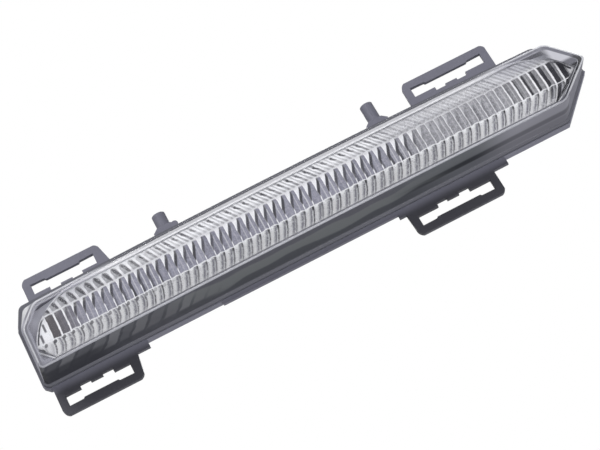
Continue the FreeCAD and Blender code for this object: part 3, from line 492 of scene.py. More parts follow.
flange = Sizes({
    "left": -halfLength, "right": halfLength, "top": 27.8, "bottom": -17.2, "cornerWidth": 5.0,
    "cornerHeight": 11.5, "upperSlant": 16.0, "tipHeight": 4.0, "lowerSlant": 21.0, "footCorner": 2.5,
})
window = Sizes({
    "left": -halfLength + 5.0, "right": halfLength - 4.0, "top": flange.top - 13.6,
    "bottom": flange.bottom + 0.5, "cornerWidth": 9.8, "cornerHeight": 9.8, "upperSlant": 13.4,
    "tipHeight": -0.7, "lowerSlant": 19.7, "footCorner": 1.25,
})
coverLens = Sizes({
    "depth": lampFrame["lensDepth"], "bow": 2.4, "wall": 2.0, "footInset": 1.4, "footWidth": 1.8,
    "footDepth": 2.0, "rimInset": 0.5, "rimDepth": 2.5, "rimSoft": 0.35, "edgeRadius": 0.9,
    "cornerRadius": 2.2, "topRise": 1.7, "sidePoints": (10, 120, 10, 10, 60, 10, 10), "cornerPoints": 6,
    "capRings": 7, "innerRings": 9, "edgeRings": 6, "wallShares": (0.0, 0.02, 0.06, 0.25, 0.5, 0.75, 0.9),
})


def cornersOf(o):
    # clockwise from the left side's upper end: cut corner, top, pointed end, bottom, foot corner
    return np.array([
        (o.left, o.top - o.cornerHeight), (o.left + o.cornerWidth, o.top),
        (o.right - o.upperSlant, o.top), (o.right, o.tipHeight),
        (o.right - o.lowerSlant, o.bottom), (o.left + o.footCorner, o.bottom),
        (o.left, o.bottom + o.footCorner),
    ], float)


def insetCorners(corners, distance):
    # each side moved inwards and met with the one before it
    along = np.roll(corners, -1, 0) - corners
    along /= np.linalg.norm(along, axis=1)[:, None]
    moved = corners + np.stack([along[:, 1], -along[:, 0]], 1) * distance
    before, start = np.roll(along, 1, 0), np.roll(moved, 1, 0)
    gap = moved - start
    share = (gap[:, 0] * along[:, 1] - gap[:, 1] * along[:, 0]) / (
        before[:, 0] * along[:, 1] - before[:, 1] * along[:, 0])
    return start + before * share[:, None]


def outlineLoop(outline, inset):
    # the closed inset outline, each corner rounded by a parabola of a given size; the second side is an
    # arch: z + rise * (1 - (2 x - left - right)^2 / (right - left)^2)
    corners = insetCorners(cornersOf(outline), inset)
    following, before = np.roll(corners, -1, 0), np.roll(corners, 1, 0)
    lengthOn = np.linalg.norm(following - corners, axis=1)
    lengthBack = np.linalg.norm(before - corners, axis=1)
    reach = np.minimum(coverLens.cornerRadius, 0.4 * np.minimum(lengthOn, lengthBack))[:, None]
    leave = corners + (following - corners) / lengthOn[:, None] * reach
    arrive = corners + (before - corners) / lengthBack[:, None] * reach
    t = np.linspace(0, 1, coverLens.cornerPoints)[:, None]
    parts = []
    for i, count in enumerate(coverLens.sidePoints):
        bend = (1 - t) ** 2 * arrive[i] + 2 * t * (1 - t) * corners[i] + t ** 2 * leave[i]
        run = np.linspace(0, 1, count + 2)[1:-1, None]
        parts += [bend, leave[i] + (arrive[(i + 1) % len(corners)] - leave[i]) * run]
    loop = np.concatenate(parts)
    left, right = corners[1, 0], corners[2, 0]
    share = (2 * loop[:, 0] - left - right) / (right - left)
    onTop = (np.abs(share) < 1) & (loop[:, 1] > corners[0, 1])
    loop[:, 1] += np.where(onTop, coverLens.topRise * (1 - share ** 2), 0)
    return loop


# Clear cover lens

def atDepth(loop, depth):
    return np.column_stack([loop[:, 0], np.broadcast_to(depth, len(loop)), loop[:, 1]])


def hatRing(gap, back, lens):
    # a ring of the hat's skin: the straight walk from the window's outline to the foot's outline;
    # back is the distance behind the bowed front y = -depth + bow * (x / halfLength)^2
    near = outlineLoop(window, gap)
    far = outlineLoop(flange, lens.footInset + gap)
    depth = -lens.depth + lens.bow * (near[:, 0] / halfLength) ** 2 + back
    share = ((depth + lens.depth) / lens.depth)[:, None]
    return atDepth(near + (far - near) * share, depth)


def capRings(ring, lens):
    # rings that shrink onto the spine of the front; each keeps its place on the bowed surface
    low, high = ring[:, 0].min(), ring[:, 0].max()
    middle = (ring[:, 2].max() + ring[:, 2].min()) / 2
    reach = (ring[:, 2].max() - ring[:, 2].min()) / 2
    spine = np.column_stack([np.clip(ring[:, 0], low + reach, high - reach),
                             np.full(len(ring), middle)])
    start = ring[:, 1] - lens.bow * (ring[:, 0] / halfLength) ** 2
    made = []
    for share in np.linspace(0, 1, lens.capRings + 1)[1:]:
        flat = ring[:, [0, 2]] + (spine - ring[:, [0, 2]]) * share
        depth = start + lens.bow * (flat[:, 0] / halfLength) ** 2
        made.append(np.column_stack([flat[:, 0], depth, flat[:, 1]]))
    return made


def buildCoverLens(lens):
    # rings from the middle of the inner face, down the inner wall, round the foot and the rim and up
    # the outer wall to the middle of the outer face; profile is a number that grows on that way:
    # -10 inner edge, -1 to 0 foot, 0 to 1 rim, 1 to 9 outer wall, 9 to 10 rounded edge, above 10 face
    wall = lens.wall
    inner = hatRing(wall, wall, lens)
    caps = capRings(inner, lens)
    rings = [(ring, -10.0 - len(caps) + index) for index, ring in enumerate(caps[::-1])]
    rings.append((inner, -10.0))
    for share in np.linspace(0, 1, lens.innerRings)[1:]:
        back = wall + share * (lens.depth - wall - lens.bow)
        rings.append((hatRing(wall, back, lens), -10.0 + 8 * share))
    inside, foot, rim, soft = (outlineLoop(flange, gap) for gap in (
        lens.footInset + lens.footWidth, lens.footInset, lens.rimInset,
        lens.rimInset + lens.rimSoft))
    for loop, depth, mark in (
            (inside, 0.0, -1.0), (inside, lens.footDepth, -0.8), (foot, lens.footDepth, -0.6),
            (foot, 0.0, -0.4), (rim, 0.0, 0.0), (rim, lens.rimSoft - lens.rimDepth, 0.5),
            (soft, -lens.rimDepth, 0.6)):
        rings.append((atDepth(loop, depth), mark))
    start = hatRing(0.0, lens.depth - lens.bow - lens.rimDepth, lens)
    finish = hatRing(0.0, lens.edgeRadius, lens)
    rings.append((atDepth(start[:, [0, 2]], -lens.rimDepth), 0.95))
    rings += [(start + (finish - start) * share, 1.0 + 8 * share) for share in lens.wallShares]
    for share in np.linspace(0, 1, lens.edgeRings):
        turn = share * math.pi / 2
        back = lens.edgeRadius * (1 - math.sin(turn))
        rings.append((hatRing(lens.edgeRadius * (1 - math.cos(turn)), back, lens), 9.0 + share))
    rings += [(ring, 11.0 + index) for index, ring in enumerate(capRings(rings[-1][0], lens))]
    loops, profile = zip(*rings)
    count = len(inner)
    along = np.tile(np.linspace(0, 1, count), len(loops))
    uv = np.stack([along, np.repeat(profile, count)], -1)
    return mergedFaces(newPiece("coverLens", np.concatenate(loops), ringFaces(len(loops), count), uv))


# zones with two numbers go from 0 to 1 between them, and zones with three are start, end and softness:
# along X and up Z in mm, on the skin by the profile number, and down the lower wall as a share of its
# depth, 0 at the front and 1 at the flange
lensFinish = Sizes({
    "along": {
        "leftEnd": (-145.0, -141.0), "leftCorner": (-141.0, -136.0), "farLeft": (-140.0, -136.0),
        "leftmost": (-122.0, -108.0), "middle": (-104.0, 104.0, 14.0), "farRight": (75.0, 102.0),
        "beside": (102.0, 110.0), "rightEnd": (110.0, 120.0), "topEnd": (124.0, 132.0),
        "endBorder": (126.0, 132.0), "nearTip": (129.0, 133.0), "tip": (139.5, 141.5),
    },
    "up": {
        "aboveFoot": (-14.2, -13.6), "aboveLine": (-13.6, -12.4), "tipLow": (-1.6, -0.4),
        "upperHalf": (1.5, 4.5), "tipHigh": (1.6, 3.4), "high": (15.2, 16.2),
    },
    "skin": {
        "wall": (0.9, 9.0, 0.1), "innerWall": (-9.6, -0.5, 0.1), "innerSkin": (-9.6, -0.9, 0.1),
        "dull": (-9.6, 0.95, 0.05), "rim": (-0.5, 0.9, 0.05), "edge": (9.15, 9.95, 0.1),
        "innerEdge": (-10.2, -9.75, 0.1), "border": (9.85, 10.95, 0.12), "beside": (10.9, 13.2, 0.15),
    },
    "down": {
        "panes": (0.06, 0.62, 0.05), "leftmost": (0.3, 0.45), "darkBand": (0.42, 0.62, 0.05),
        "backBand": (0.6, 0.68), "last": (0.86, 0.92),
    },
    "rolled": {"first": (0.16, 0.24), "second": (0.56, 0.66), "swell": 0.9},
    "pane": {"pitch": 7.6, "lean": 0.42, "warp": 9.0, "seed": 3.0, "across": (0.1, 0.86, 0.06)},
    "changes": {"toBands": (-30.0, (-100.0, -62.0)), "toSmooth": (-20.0, (20.0, 60.0))},
    "brightSpot": (135.0, 3.2, 17.5, 6.0),
    "face": 0.03, "facet": (0.42, 0.9), "inside": 0.5, "lower": 0.93, "upper": 0.02, "upperEnd": 0.5,
    "corner": 0.5, "ends": 0.36, "border": (0.5, 0.8), "beside": (0.3, 0.85), "rim": 0.92,
    "line": (0.6, 0.85), "innerLine": 0.75, "facing": 0.25, "sheen": 0.09, "roughness": (0.05, 0.5),
    "gloss": 0.4, "coatRoughness": 0.03, "specular": 0.02,
    "tones": {
        "white": (0.95, 0.955, 0.98), "bright": (0.95, 0.95, 0.97), "top": (0.6, 0.6, 0.66),
        "topTip": (0.36, 0.36, 0.42), "dull": (0.13, 0.13, 0.155), "dullPale": (0.26, 0.26, 0.31),
        # the tones from gap to nearBackRight are the lower wall's painted shade
        "wall": (0.5, 0.5, 0.58), "gap": (0.045, 0.046, 0.055), "gapPale": (0.085, 0.087, 0.103),
        "pane": (0.17, 0.173, 0.19), "leftmost": (0.038, 0.039, 0.047),
        "front": (0.09, 0.09, 0.108), "first": (0.138, 0.146, 0.155),
        "second": (0.066, 0.069, 0.08), "last": (0.13, 0.133, 0.155),
        "nearFront": (0.12, 0.127, 0.14), "nearFrontRight": (0.25, 0.25, 0.288),
        "darkBand": (0.032, 0.034, 0.04), "darkBandRight": (0.12, 0.12, 0.141),
        "nearBack": (0.11, 0.114, 0.131), "nearBackRight": (0.16, 0.16, 0.186),
        "border": (0.36, 0.36, 0.42), "borderMiddle": (0.9, 0.905, 0.94),
        "borderEnd": (0.19, 0.19, 0.23), "beside": (0.3, 0.3, 0.35), "tipWall": (0.17, 0.17, 0.2),
        "rim": (0.14, 0.142, 0.165), "edge": (0.85, 0.86, 0.92), "edgeMiddle": (0.1, 0.1, 0.12),
        "edgeLow": (0.4, 0.405, 0.45), "innerLow": (0.17, 0.17, 0.2),
    },
})


def lowerWallTone(kit, look, along, x, y, fine):
    # painted shade: the dark, shaded inside seen through the clear wall is painted on it, as panes with dark gaps at
    # the left and long smooth bands further right
    mix, place = kit.mix, kit.place()
    depth = (y + coverLens.depth) / coverLens.depth
    down = depth.zones(look.down)
    pane, rolls = look.pane, look.rolled
    warp = (kit.noise(place, 38.0) - 0.5) * pane["warp"]
    count = (x + y * pane["lean"] + warp) / pane["pitch"]
    level = count.whole().chance(pane["seed"]).share(0.2)
    panes = count.rest().zone(pane["across"]) * down.panes * level
    left = mix(panes * 0.9, mix(fine, "gap", "gapPale"), "pane")
    left = mix((1 - along.leftmost) * down.leftmost * 0.85, left, "leftmost")
    rolled = depth + (kit.noise(place, 26.0, 1.0) - 0.5) * rolls["swell"]
    lower = mix(rolled.zone(rolls["first"]), "front", "first")
    lower = mix(rolled.zone(rolls["second"]), lower, "second")
    toBands, toSmooth = ((x + depth * lean).zone(limits) for lean, limits in look.changes.values())
    lower = mix(down.last, mix(toBands, left, lower), "last")
    nearFront, darkBand, nearBack = (mix(along.farRight, name, name + "Right")
                                     for name in ("nearFront", "darkBand", "nearBack"))
    smooth = mix(down.backBand, mix(down.darkBand, nearFront, darkBand), nearBack)
    return mix(toSmooth, lower, smooth)


def clearLensMaterial(look):
    material, kit, shader = newMaterial("clearLens", look.tones)
    mix = kit.mix
    x, y, z = kit.lampPlace()
    fine = kit.noise(kit.place(), 170.0)
    along, up, skin = x.zones(look.along), z.zones(look.up), kit.uv()[1].zones(look.skin)
    wall, rim, edge, innerEdge = skin.wall, skin.rim, skin.edge, skin.innerEdge
    middle, rightEnd, nearTip, upperHalf = along.middle, along.rightEnd, along.nearTip, up.upperHalf
    leftCorner, bottomSide = 1 - along.leftCorner, 1 - up.aboveLine
    lowerWall = wall * (1 - up.aboveFoot)
    upperWall = wall.most(skin.innerWall) * up.high
    # the walls
    # a painted highlight: a bright spot on the upper wall near the pointed end
    spotX, spotReach, spotZ, spotRise = look.brightSpot
    topTone = mix(along.tip, "top", "topTip")
    topTone = mix(kit.spot(x, spotX, spotReach, z, spotZ, spotRise), topTone, "bright")
    endTone = mix(rightEnd, "wall", mix(upperHalf, mix(fine, "dull", "dullPale"), topTone))
    color = mix(lowerWall, endTone, lowerWallTone(kit, look, along, x, y, fine))
    # at the left corner the upper wall is painted white, a painted highlight
    color = mix(upperWall, color, mix(leftCorner, topTone, "white"))
    # the border of the face, and inside it the pale far wall that the right end shows
    border = skin.border * upperHalf.most(1 - along.farLeft)
    borderTone = mix(middle, "border", "borderMiddle")
    color = mix(border, color, mix(along.endBorder, borderTone, "borderEnd"))
    beside = skin.beside * (upperHalf * along.beside).most(nearTip * up.tipLow)
    color = mix(beside, color, mix(up.tipHigh, "tipWall", mix(nearTip, "beside", topTone)))
    # the rim and the two long edges; the pale lines on the edges are painted highlights and the dark line along the
    # middle of the top edge is painted shade
    color = mix(rim, color, "rim")
    color = mix(edge, color, mix(bottomSide, mix(middle, "edge", "edgeMiddle"), "edgeLow"))
    color = mix(innerEdge, color, mix(bottomSide, "edge", "innerLow"))
    # how much of each is seen: the face is clear and the walls are partly opaque, which on the lower wall carries its
    # painted shade
    bothEnds = rightEnd.most(1 - along.leftEnd)
    alpha = wall * bothEnds.share(*look.facet) + skin.innerSkin * bothEnds * look.inside
    alpha = alpha.most(look.face, lowerWall * look.lower)
    veil = (wall * along.topEnd * look.upperEnd + wall * leftCorner * look.corner
            + (1 - middle) * look.ends + look.upper)
    alpha = alpha * (1 - upperWall) + upperWall * kit.math("MINIMUM", veil, 1.0)
    alpha = alpha.most(border * along.endBorder.share(*look.border),
                       beside * nearTip.share(*look.beside), rim * look.rim,
                       edge * bottomSide.share(*look.line), innerEdge * look.innerLine)
    facing = kit.value("ShaderNodeLayerWeight", "Facing", {"Blend": look.facing})
    sheen = facing * look.sheen * (1 - upperWall.most(rim))
    # the walls are duller than the face, which is polished
    polished = kit.math("SUBTRACT", 1.0, wall.most(skin.dull), clamp=True)
    kit.fill(shader, {
        "Base Color": color, "Alpha": kit.math("ADD", alpha, sheen, clamp=True),
        "Roughness": wall.share(*look.roughness), "Coat Weight": polished * look.gloss,
        "Coat Roughness": look.coatRoughness, "Specular IOR Level": look.specular,
    })
    return material


lensPiece = buildCoverLens(coverLens)
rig.replaces(lensPiece, "cover_lens")
settle(lensPiece, "lens_clear", clearLensMaterial(lensFinish))
print("cover lens built")


# Fluted optic

optic = Sizes({
    "flutes": 62, "perFlute": 12, "start": -143.56, "pitch": 4.628, "left": -143.2, "right": 140.2,
    "crest": 20.5, "edge": 14.6, "back": 13.0, "bow": 2.4, "top": 16.6, "rise": 1.4, "facetTop": 8.4,
    "facetBottom": -4.0, "bottom": -10.4, "fluteDepth": 1.0, "edgeFluteDepth": 0.45, "fluteCurve": 0.92,
    "crestEasing": 0.35, "easingWidth": 0.08, "drawAngle": 21.0, "rowsPerFacet": 10, "arcSamples": 40,
    "leftRound": 28.0, "leftRadius": 30.0, "rightRound": 27.0, "rightRadius": 33.8,
    "tipLift": 3.2, "tipCut": 15.0, "footCut": 6.0,
})


def circleThrough(start, end, radius):
    # centre and radius of the circle whose arc between two ends bulges to the left of the way
    start, end = np.array(start, float), np.array(end, float)
    chord = end - start
    half = np.linalg.norm(chord) / 2
    left = np.array([-chord[1], chord[0]]) / (2 * half)
    centre = (start + end) / 2 - left * math.sqrt(radius ** 2 - half ** 2)
    return float(centre[0]), float(centre[1]), radius


def arcPoints(start, end, radius, count):
    x, z, radius = circleThrough(start, end, radius)
    first = math.atan2(start[1] - z, start[0] - x)
    last = math.atan2(end[1] - z, end[0] - x)
    turn = np.linspace(first, last, count)
    return np.column_stack([x + radius * np.cos(turn), z + radius * np.sin(turn)])


def roundEnds(o):
    # start, end and radius of the left and the right arc of the optic's front outline
    peak = o.top + o.rise
    return (((o.left, o.facetBottom), (o.left + o.leftRound, peak), o.leftRadius),
            ((o.right - o.rightRound, peak), (o.right, o.facetBottom + o.tipLift),
             o.rightRadius))


def opticLimits(x, o):
    # highest and lowest Z of the optic's front outline at each X
    knee = o.facetBottom
    high = np.concatenate([arcPoints(*ends, o.arcSamples) for ends in roundEnds(o)])
    low = np.array([(o.left, knee), (o.left + o.footCut, o.bottom),
                    (o.right - o.tipCut, o.bottom), (o.right, knee + o.tipLift)])
    return np.interp(x, high[:, 0], high[:, 1]), np.interp(x, low[:, 0], low[:, 1])


def opticSkin(o, along):
    # front y = -crest + bow x^2 / half^2 + flute, the flute being depth * (1 - sqrt(1 - curve w^2)) for w
    # from -1 to 1 across it; above and below the crest's facet the skin falls back in straight slopes
    flute = 1 - np.sqrt(1 - o.fluteCurve * (2 * (along % 1) - 1) ** 2)
    x0 = o.start + o.pitch * along
    reach = (x0 / halfLength) ** 2
    crest = o.crest - o.bow * reach
    edge, level = np.full(len(along), o.edge), np.ones(len(along))
    facets = (
        (o.top + o.rise * (1 - reach), level * o.facetTop, edge, crest),
        (level * o.facetTop, level * o.facetBottom, crest, crest),
        (level * o.facetBottom, level * o.bottom, crest, edge),
    )
    steps = np.linspace(0, 1, o.rowsPerFacet + 1)
    heights, depths, tags = [], [], []
    for index, (high, low, startDepth, endDepth) in enumerate(facets):
        for step in steps[:-1] if index < 2 else steps:
            heights.append(high + (low - high) * step)
            base = startDepth + (endDepth - startDepth) * step
            cut = o.edgeFluteDepth + (o.fluteDepth - o.edgeFluteDepth) * (
                base - o.edge) / (o.crest - o.edge)
            # the crest's two long edges are eased a little
            away = min(abs(index + step - 1), abs(index + step - 2)) / o.easingWidth
            depths.append(base - cut * flute - o.crestEasing * np.exp(-away ** 2))
            tags.append(index + step)
    heights, depths = np.array(heights), np.array(depths)
    x = x0[None, :] - (o.crest - depths) * math.tan(math.radians(o.drawAngle))
    high, low = opticLimits(x, o)
    skin = np.stack([np.clip(x, o.left, o.right), -depths, np.clip(heights, low, high)], -1)
    return skin, np.array(tags)


def buildOptic(o):
    # the front skin, a flat back behind it and a wall round both
    columns = o.flutes * o.perFlute + 1
    along = np.linspace(0, o.flutes, columns)
    skin, tags = opticSkin(o, along)
    backSkin = skin.copy()
    backSkin[..., 1] = -o.back
    count = len(skin)
    size = count * columns
    verts = np.concatenate([skin.reshape(-1, 3), backSkin.reshape(-1, 3)])
    grid = np.arange(size).reshape(count, columns)
    front = np.stack([grid[:-1, :-1], grid[1:, :-1], grid[1:, 1:], grid[:-1, 1:]], -1).reshape(-1, 4)
    faces = [front, front[:, ::-1] + size]
    for edge in (grid[0], grid[-1, ::-1], grid[::-1, 0], grid[:, -1]):
        faces.append(np.stack([edge[:-1], edge[1:], edge[1:] + size, edge[:-1] + size], -1))
    uv = np.stack(np.broadcast_arrays(along[None, :], tags[:, None]), -1).reshape(-1, 2)
    piece = newPiece("flutedOptic", verts, np.concatenate(faces), np.concatenate([uv, uv]))
    return mergedFaces(piece, distance=1e-6, outward=False)


# zones are counted in flutes along the optic, and all other places are from 0 to 1 across a flute or down
# a facet; two numbers go from 0 to 1 between them, and three are start, end and softness
opticFinish = Sizes({
    "zones": {
        "tip": (1.97, 2.03), "leftDark": (2.2, 7.2), "ripple": (9.6, 18.0), "ashes": (37.7, 46.0),
        "fewHooks": (38.0, 46.0), "weakStrokes": (39.8, 46.0), "steeper": (52.0, 57.0),
        "rightEnd": (52.8, 55.4), "endStrokes": (57.8, 58.4), "endWall": (60.8, 60.9),
        "milkyTop": (40.8, 53.9, 1.5), "milkyPanes": (44.0, 53.9, 1.5), "wedges": (4.4, 52.3, 1.0),
        "weakWedges": (44.0, 53.3, 1.5),
    },
    "tones": {
        "white": (0.9, 0.905, 0.94), "scoop": (0.24, 0.24, 0.262), "hook": (0.018, 0.018, 0.024),
        "lilac": (0.13, 0.13, 0.175), "lilacPale": (0.42, 0.42, 0.5), "ash": (0.11, 0.11, 0.12),
        "ashPale": (0.5, 0.5, 0.53), "brown": (0.07, 0.062, 0.064), "slit": (0.016, 0.016, 0.022),
        "pearl": (0.95, 0.955, 0.98), "shade": (0.27, 0.27, 0.31), "stroke": (0.065, 0.065, 0.08),
        "glint": (0.99, 0.99, 1), "milkyDark": (0.16, 0.16, 0.18), "milky": (0.74, 0.74, 0.78),
        "cloudyDark": (0.14, 0.14, 0.16), "cloudy": (0.6, 0.6, 0.66),
    },
    "seeds": (0.5, 40.5, 90.5), "wobble": 0.14, "topLean": 0.5, "lowLean": (0.28, 0.62),
    "scoop": (0.15, 0.88, 0.05), "scoopArch": (0.07, 0.52, 1.9, 0.15), "scoopFoot": (0.88, 0.97),
    "scoopCore": (0.44, 0.34, 0.25), "coreSize": (0.24, 0.52, 0.5), "thinStrip": (0.16, 0.36, 0.05),
    "wideStrip": (0.56, 0.86, 0.06), "stripFoot": (0.88, 0.98), "hookEdge": (0.74, 16.0, 0.06),
    "hookWidth": (0.16, 0.1, 0.04), "hookHeight": (0.14, 0.5, 0.05), "paleLine": (0.5, 0.6, 0.05),
    "lineWidth": 0.075, "slitWidth": 0.16, "slitZones": ((9.1, 14.8), (36.2, 42.9), (48.1, 52.8)),
    "rightSlits": (54.4, 60.1, 0.03, 0.5), "shortSlits": (((1.56, 1.8, 0.05), (0.24, 0.6, 0.05)),
                                                          ((0.98, 1.2, 0.05), (0.6, 0.94, 0.05))),
    "wedgeDepth": (12.7, 18.0, 0.38, 0.52), "wedgeWidth": (0.0, 0.72, 0.04),
    "strokeDepth": (0.0, 0.3, 0.04), "strokeEnd": (0.5, 0.68), "bulge": (0.24, 0.06),
    "lowShade": (0.28, 0.6), "lowPearl": (0.62, 0.74), "lowStroke": (0.82, 0.98, 0.03),
    "lowLine": (0.0, 0.12, 0.03), "tick": (0.7, 0.98, 0.04),
    "tickFoot": (0.12, 0.34), "glint": (0.02, 0.3, 0.05), "glintHeight": (0.3, 0.95, 0.1),
    "paleFoot": (0.76, 1.0), "endStroke": (0.16, 0.56, 0.04),
    # height, width and strength of the lines on the joints
    "joints": ((1.0, 0.05, 0.55), (2.0, 0.035, 0.8)),
    # side and lowest height of the lines on the round ends, then places in mm
    "endLines": ((-1, -3.4), (1, -0.5)), "endReach": (128.0, 131.0), "endTop": (6.5, 9.0), "endSoft": 0.5,
    "endWhite": (-1.0, 0.35, 0.1), "endDark": (0.5, 1.3, 0.15),
    "roughness": (0.3, 0.7, 0.1, 0.26), "specular": 0.18,
})


def opticMaterial(look):
    # every flute repeats one drawing: u counts the flutes and v runs down the three facets, 0 to 3; the drawing paints
    # the highlights, reflections and shade of a clear fluted optic
    material, kit, shader = newMaterial("opticClear", look.tones)
    mix = kit.mix
    u, v = kit.uv()
    place = kit.place()
    wobble = kit.noise(place, 330.0) - 0.5
    slow = kit.noise(place, 22.0, 2.0)
    fine = kit.noise(place, 900.0, 4.0, 0.7)
    grit, speck = fine - 0.5, kit.noise(place, 1600.0, 2.0) - 0.5
    mottle = kit.math("ADD", (grit + speck) * 1.6, 0.5, clamp=True)
    zones = u.zones(look.zones)
    ripple, rightEnd = zones.ripple, zones.rightEnd
    leftEnd, tip = 1 - zones.leftDark, 1 - zones.tip

    def flute(lean, *seeds):
        # the place across the flute after the drawing is slid by a lean, and a number for each seed
        slid = u + wobble * look.wobble + lean
        return [slid.rest()] + [slid.whole().chance(seed) for seed in seeds]

    def topFacet():
        # rounded scoops at the left; leaning strips with a dark hook each further right; the white rims, strips and
        # specks are painted highlights and reflection, the hooks and dark cores painted shade
        f, first, second = flute(ripple * (1 - v) * look.topLean, *look.seeds[:2])
        height, middle, curve, waver = look.scoopArch
        off = f - middle
        arch = off * off * curve + height + wobble * waver
        scoop = f.zone(look.scoop) * (v - arch).band(-0.05, 0.05) * (1 - v.zone(look.scoopFoot))
        scooped = mix(scoop * slow.ramp(0.35, 0.65, 0.5, 0.8), "white", "scoop")
        start, slant, waver = look.scoopCore
        width, middle, reach = look.coreSize
        core = kit.spot(f, v * slant + start + wobble * waver, width, v, middle, reach)
        scooped = mix(core * second.share(0.7), scooped, "hook")
        strips = (f.zone(look.thinStrip) * 0.75).most(f.zone(look.wideStrip))
        strips = strips * first.share(0.55) * (1 - v.zone(look.stripFoot))
        start, teeth, size = look.hookEdge
        tooth = kit.math("SINE", v * teeth) * size + start
        before, past, soft = look.hookWidth
        hook = f.strip(tooth - before, tooth + past, soft) * v.zone(look.hookHeight)
        hook = hook * second.share(0.55) * (1 - zones.fewHooks)
        color = mix(ripple, scooped, mix(hook, mix(strips, "white", "scoop"), "hook"))
        color = mix(zones.milkyTop * 0.62, color, mix(mottle, "milkyDark", "milky"))
        return mix(speck.band(0.06, 0.16) * 0.45, color, "white")

    def middleFacet():
        # panes between thin white lines, with a dark slit to the right of some lines; the lines are painted
        # highlights, the slits painted shade and the panes' tints painted reflection
        w = v - 1.0
        tint = first * 0.22 + f * 0.3 + w * 0.12 + grit * 1.5
        tint = kit.math("ADD", tint, 0.08, clamp=True)
        pane = mix(zones.ashes, mix(tint, "lilac", "lilacPale"), mix(tint, "ash", "ashPale"))
        pane = mix(leftEnd * third.share(0.75), pane, "brown")
        pane = mix(f.zone(look.paleLine) * second * 0.55 * (1 - leftEnd), pane, "pearl")
        slits = rightEnd.most(*(u.strip(*ends, 1.0) * third.share(0.55) for ends in look.slitZones))
        wide = second * 0.08 + look.slitWidth + rightEnd * (u.ramp(*look.rightSlits) - look.slitWidth)
        line = leftEnd * 0.1 + rightEnd * 0.07 + look.lineWidth
        pane = mix(f.strip(line, line + wide, 0.03) * slits * 0.97, pane, "slit")
        # the two panes of the left tip are white, each with a short slit
        pane = mix(f.strip(0.0, line, 0.02), mix(tip, pane, "white"), "white")
        upper, lower = (u.zone(across) * w.zone(down) for across, down in look.shortSlits)
        pane = mix(upper.most(lower) * 0.9, pane, "stroke")
        # white wedges hang into the panes from the upper joint, with a dark stroke down the right side: painted
        # highlights and painted shade
        below = w - (u.ramp(*look.wedgeDepth) - f + wobble * 0.16)
        wedged = zones.wedges * f.zone(look.wedgeWidth) * (1 - zones.weakWedges * 0.65)
        pane = mix(wedged * (1 - below.band(-0.03, 0.03)) * 0.85, pane, "white")
        stroke = below.zone(look.strokeDepth) * wedged * (1 - f.zone(look.strokeEnd))
        pane = mix(stroke * first.share(0.75) * (1 - zones.weakStrokes * 0.6), pane, "hook")
        return mix(zones.milkyPanes * 0.4, pane, mix(mottle, "cloudyDark", "cloudy"))

    def lowerFacet():
        # scallops at the left, then strokes that lean the other way; each scallop is painted lit and shaded across its
        # round, with painted highlight lines and glints and painted shade strokes
        t = v - 2.0
        bulge = kit.math("SINE", t * math.pi) * ripple.share(*look.bulge)
        lean = ripple * t * zones.steeper.share(*look.lowLean)
        q, second = flute(lean - bulge, look.seeds[1])
        tick = q.zone(look.tick) * (1 - t.zone(look.tickFoot)) * ripple * second.share(0.5)
        glint = q.zone(look.glint) * t.zone(look.glintHeight) * second.share(0.3)
        color = "pearl"
        for mask, tone in (
                (q.zone(look.lowShade), "shade"),
                (q.zone(look.lowPearl) * second.share(0.45, 0.95), "pearl"),
                (q.zone(look.lowStroke) * second.share(0.4, 0.95), "stroke"),
                (q.zone(look.lowLine), "white"), (grit.band(0.03, 0.12) * 0.6, "white"),
                (speck.band(0.05, 0.15) * 0.4, "stroke"), (tick, "hook"),
                (glint.most(t.zone(look.paleFoot) * 0.5), "glint"),
                (q.zone(look.endStroke) * zones.endStrokes * 0.97, "slit"), (tip * 0.7, "white")):
            color = mix(mask, color, tone)
        return color

    f, first, second, third = flute(0.0, *look.seeds)
    color = mix(v.band(0.99, 1.01), topFacet(), middleFacet())
    color = mix(v.band(1.99, 2.01), color, lowerFacet())
    # a thin white line on each joint, a painted highlight, dark nodes under the lower one, painted shade, and a white
    # wall at the end
    for height, wide, share in look.joints:
        away = kit.math("ABSOLUTE", v - height + wobble * 0.12)
        color = mix((1 - away.band(wide / 2, wide)) * share, color, "white")
    node = kit.spot(f, 0.2, 0.2, v, 2.13, 0.15) * third.share(0.6, 0.95)
    color = mix(node * (1 - ripple), color, "hook")
    color = mix(kit.spot(u, 0.75, 0.3, v, 2.42, 0.2) * 0.9, color, "hook")
    color = mix(zones.endWall, color, "white")
    # a white and a dark line follow the round of both ends, a painted highlight and painted shade
    x, y, z = kit.lampPlace()
    for ends, (side, lowest) in zip(roundEnds(optic), look.endLines):
        centreX, centreZ, radius = circleThrough(*ends)
        inside = radius - ((x - centreX).power(2.0) + (z - centreZ).power(2.0)).power(0.5)
        reach = (x * side).zone(look.endReach) * z.band(lowest, lowest + look.endSoft)
        reach = reach * (1 - z.zone(look.endTop))
        color = mix(reach * inside.zone(look.endWhite), color, "white")
        color = mix(reach * inside.zone(look.endDark), color, "stroke")
    kit.fill(shader, {"Base Color": color, "Roughness": fine.ramp(*look.roughness),
                      "Specular IOR Level": look.specular})
    return material


opticPiece = buildOptic(optic)
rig.replaces(opticPiece, "fluted_optic")
settle(opticPiece, "optic_clear", opticMaterial(opticFinish))
print("optic built")


# Lip round the optic

opticLip = Sizes({
    "lip": 0.9, "gap": 0.4, "rightGap": 0.8, "rightEnd": 112.0, "front": 14.6, "foot": 13.0, "soft": 0.2,
    "sink": 0.02, "floor": 0.05, "samples": 260,
    "pale": ((0.74, 0.745, 0.78, 1), (0.86, 0.865, 0.9, 1)), "gapTones": ((0.72, 0.725, 0.76, 1),
                                                                         (0.02, 0.02, 0.026, 1)),
    "darkLeft": (-136.0, -128.0), "darkRight": (108.0, 120.0), "gapEdge": (2.3, 2.7), "roughness": 0.35,
})


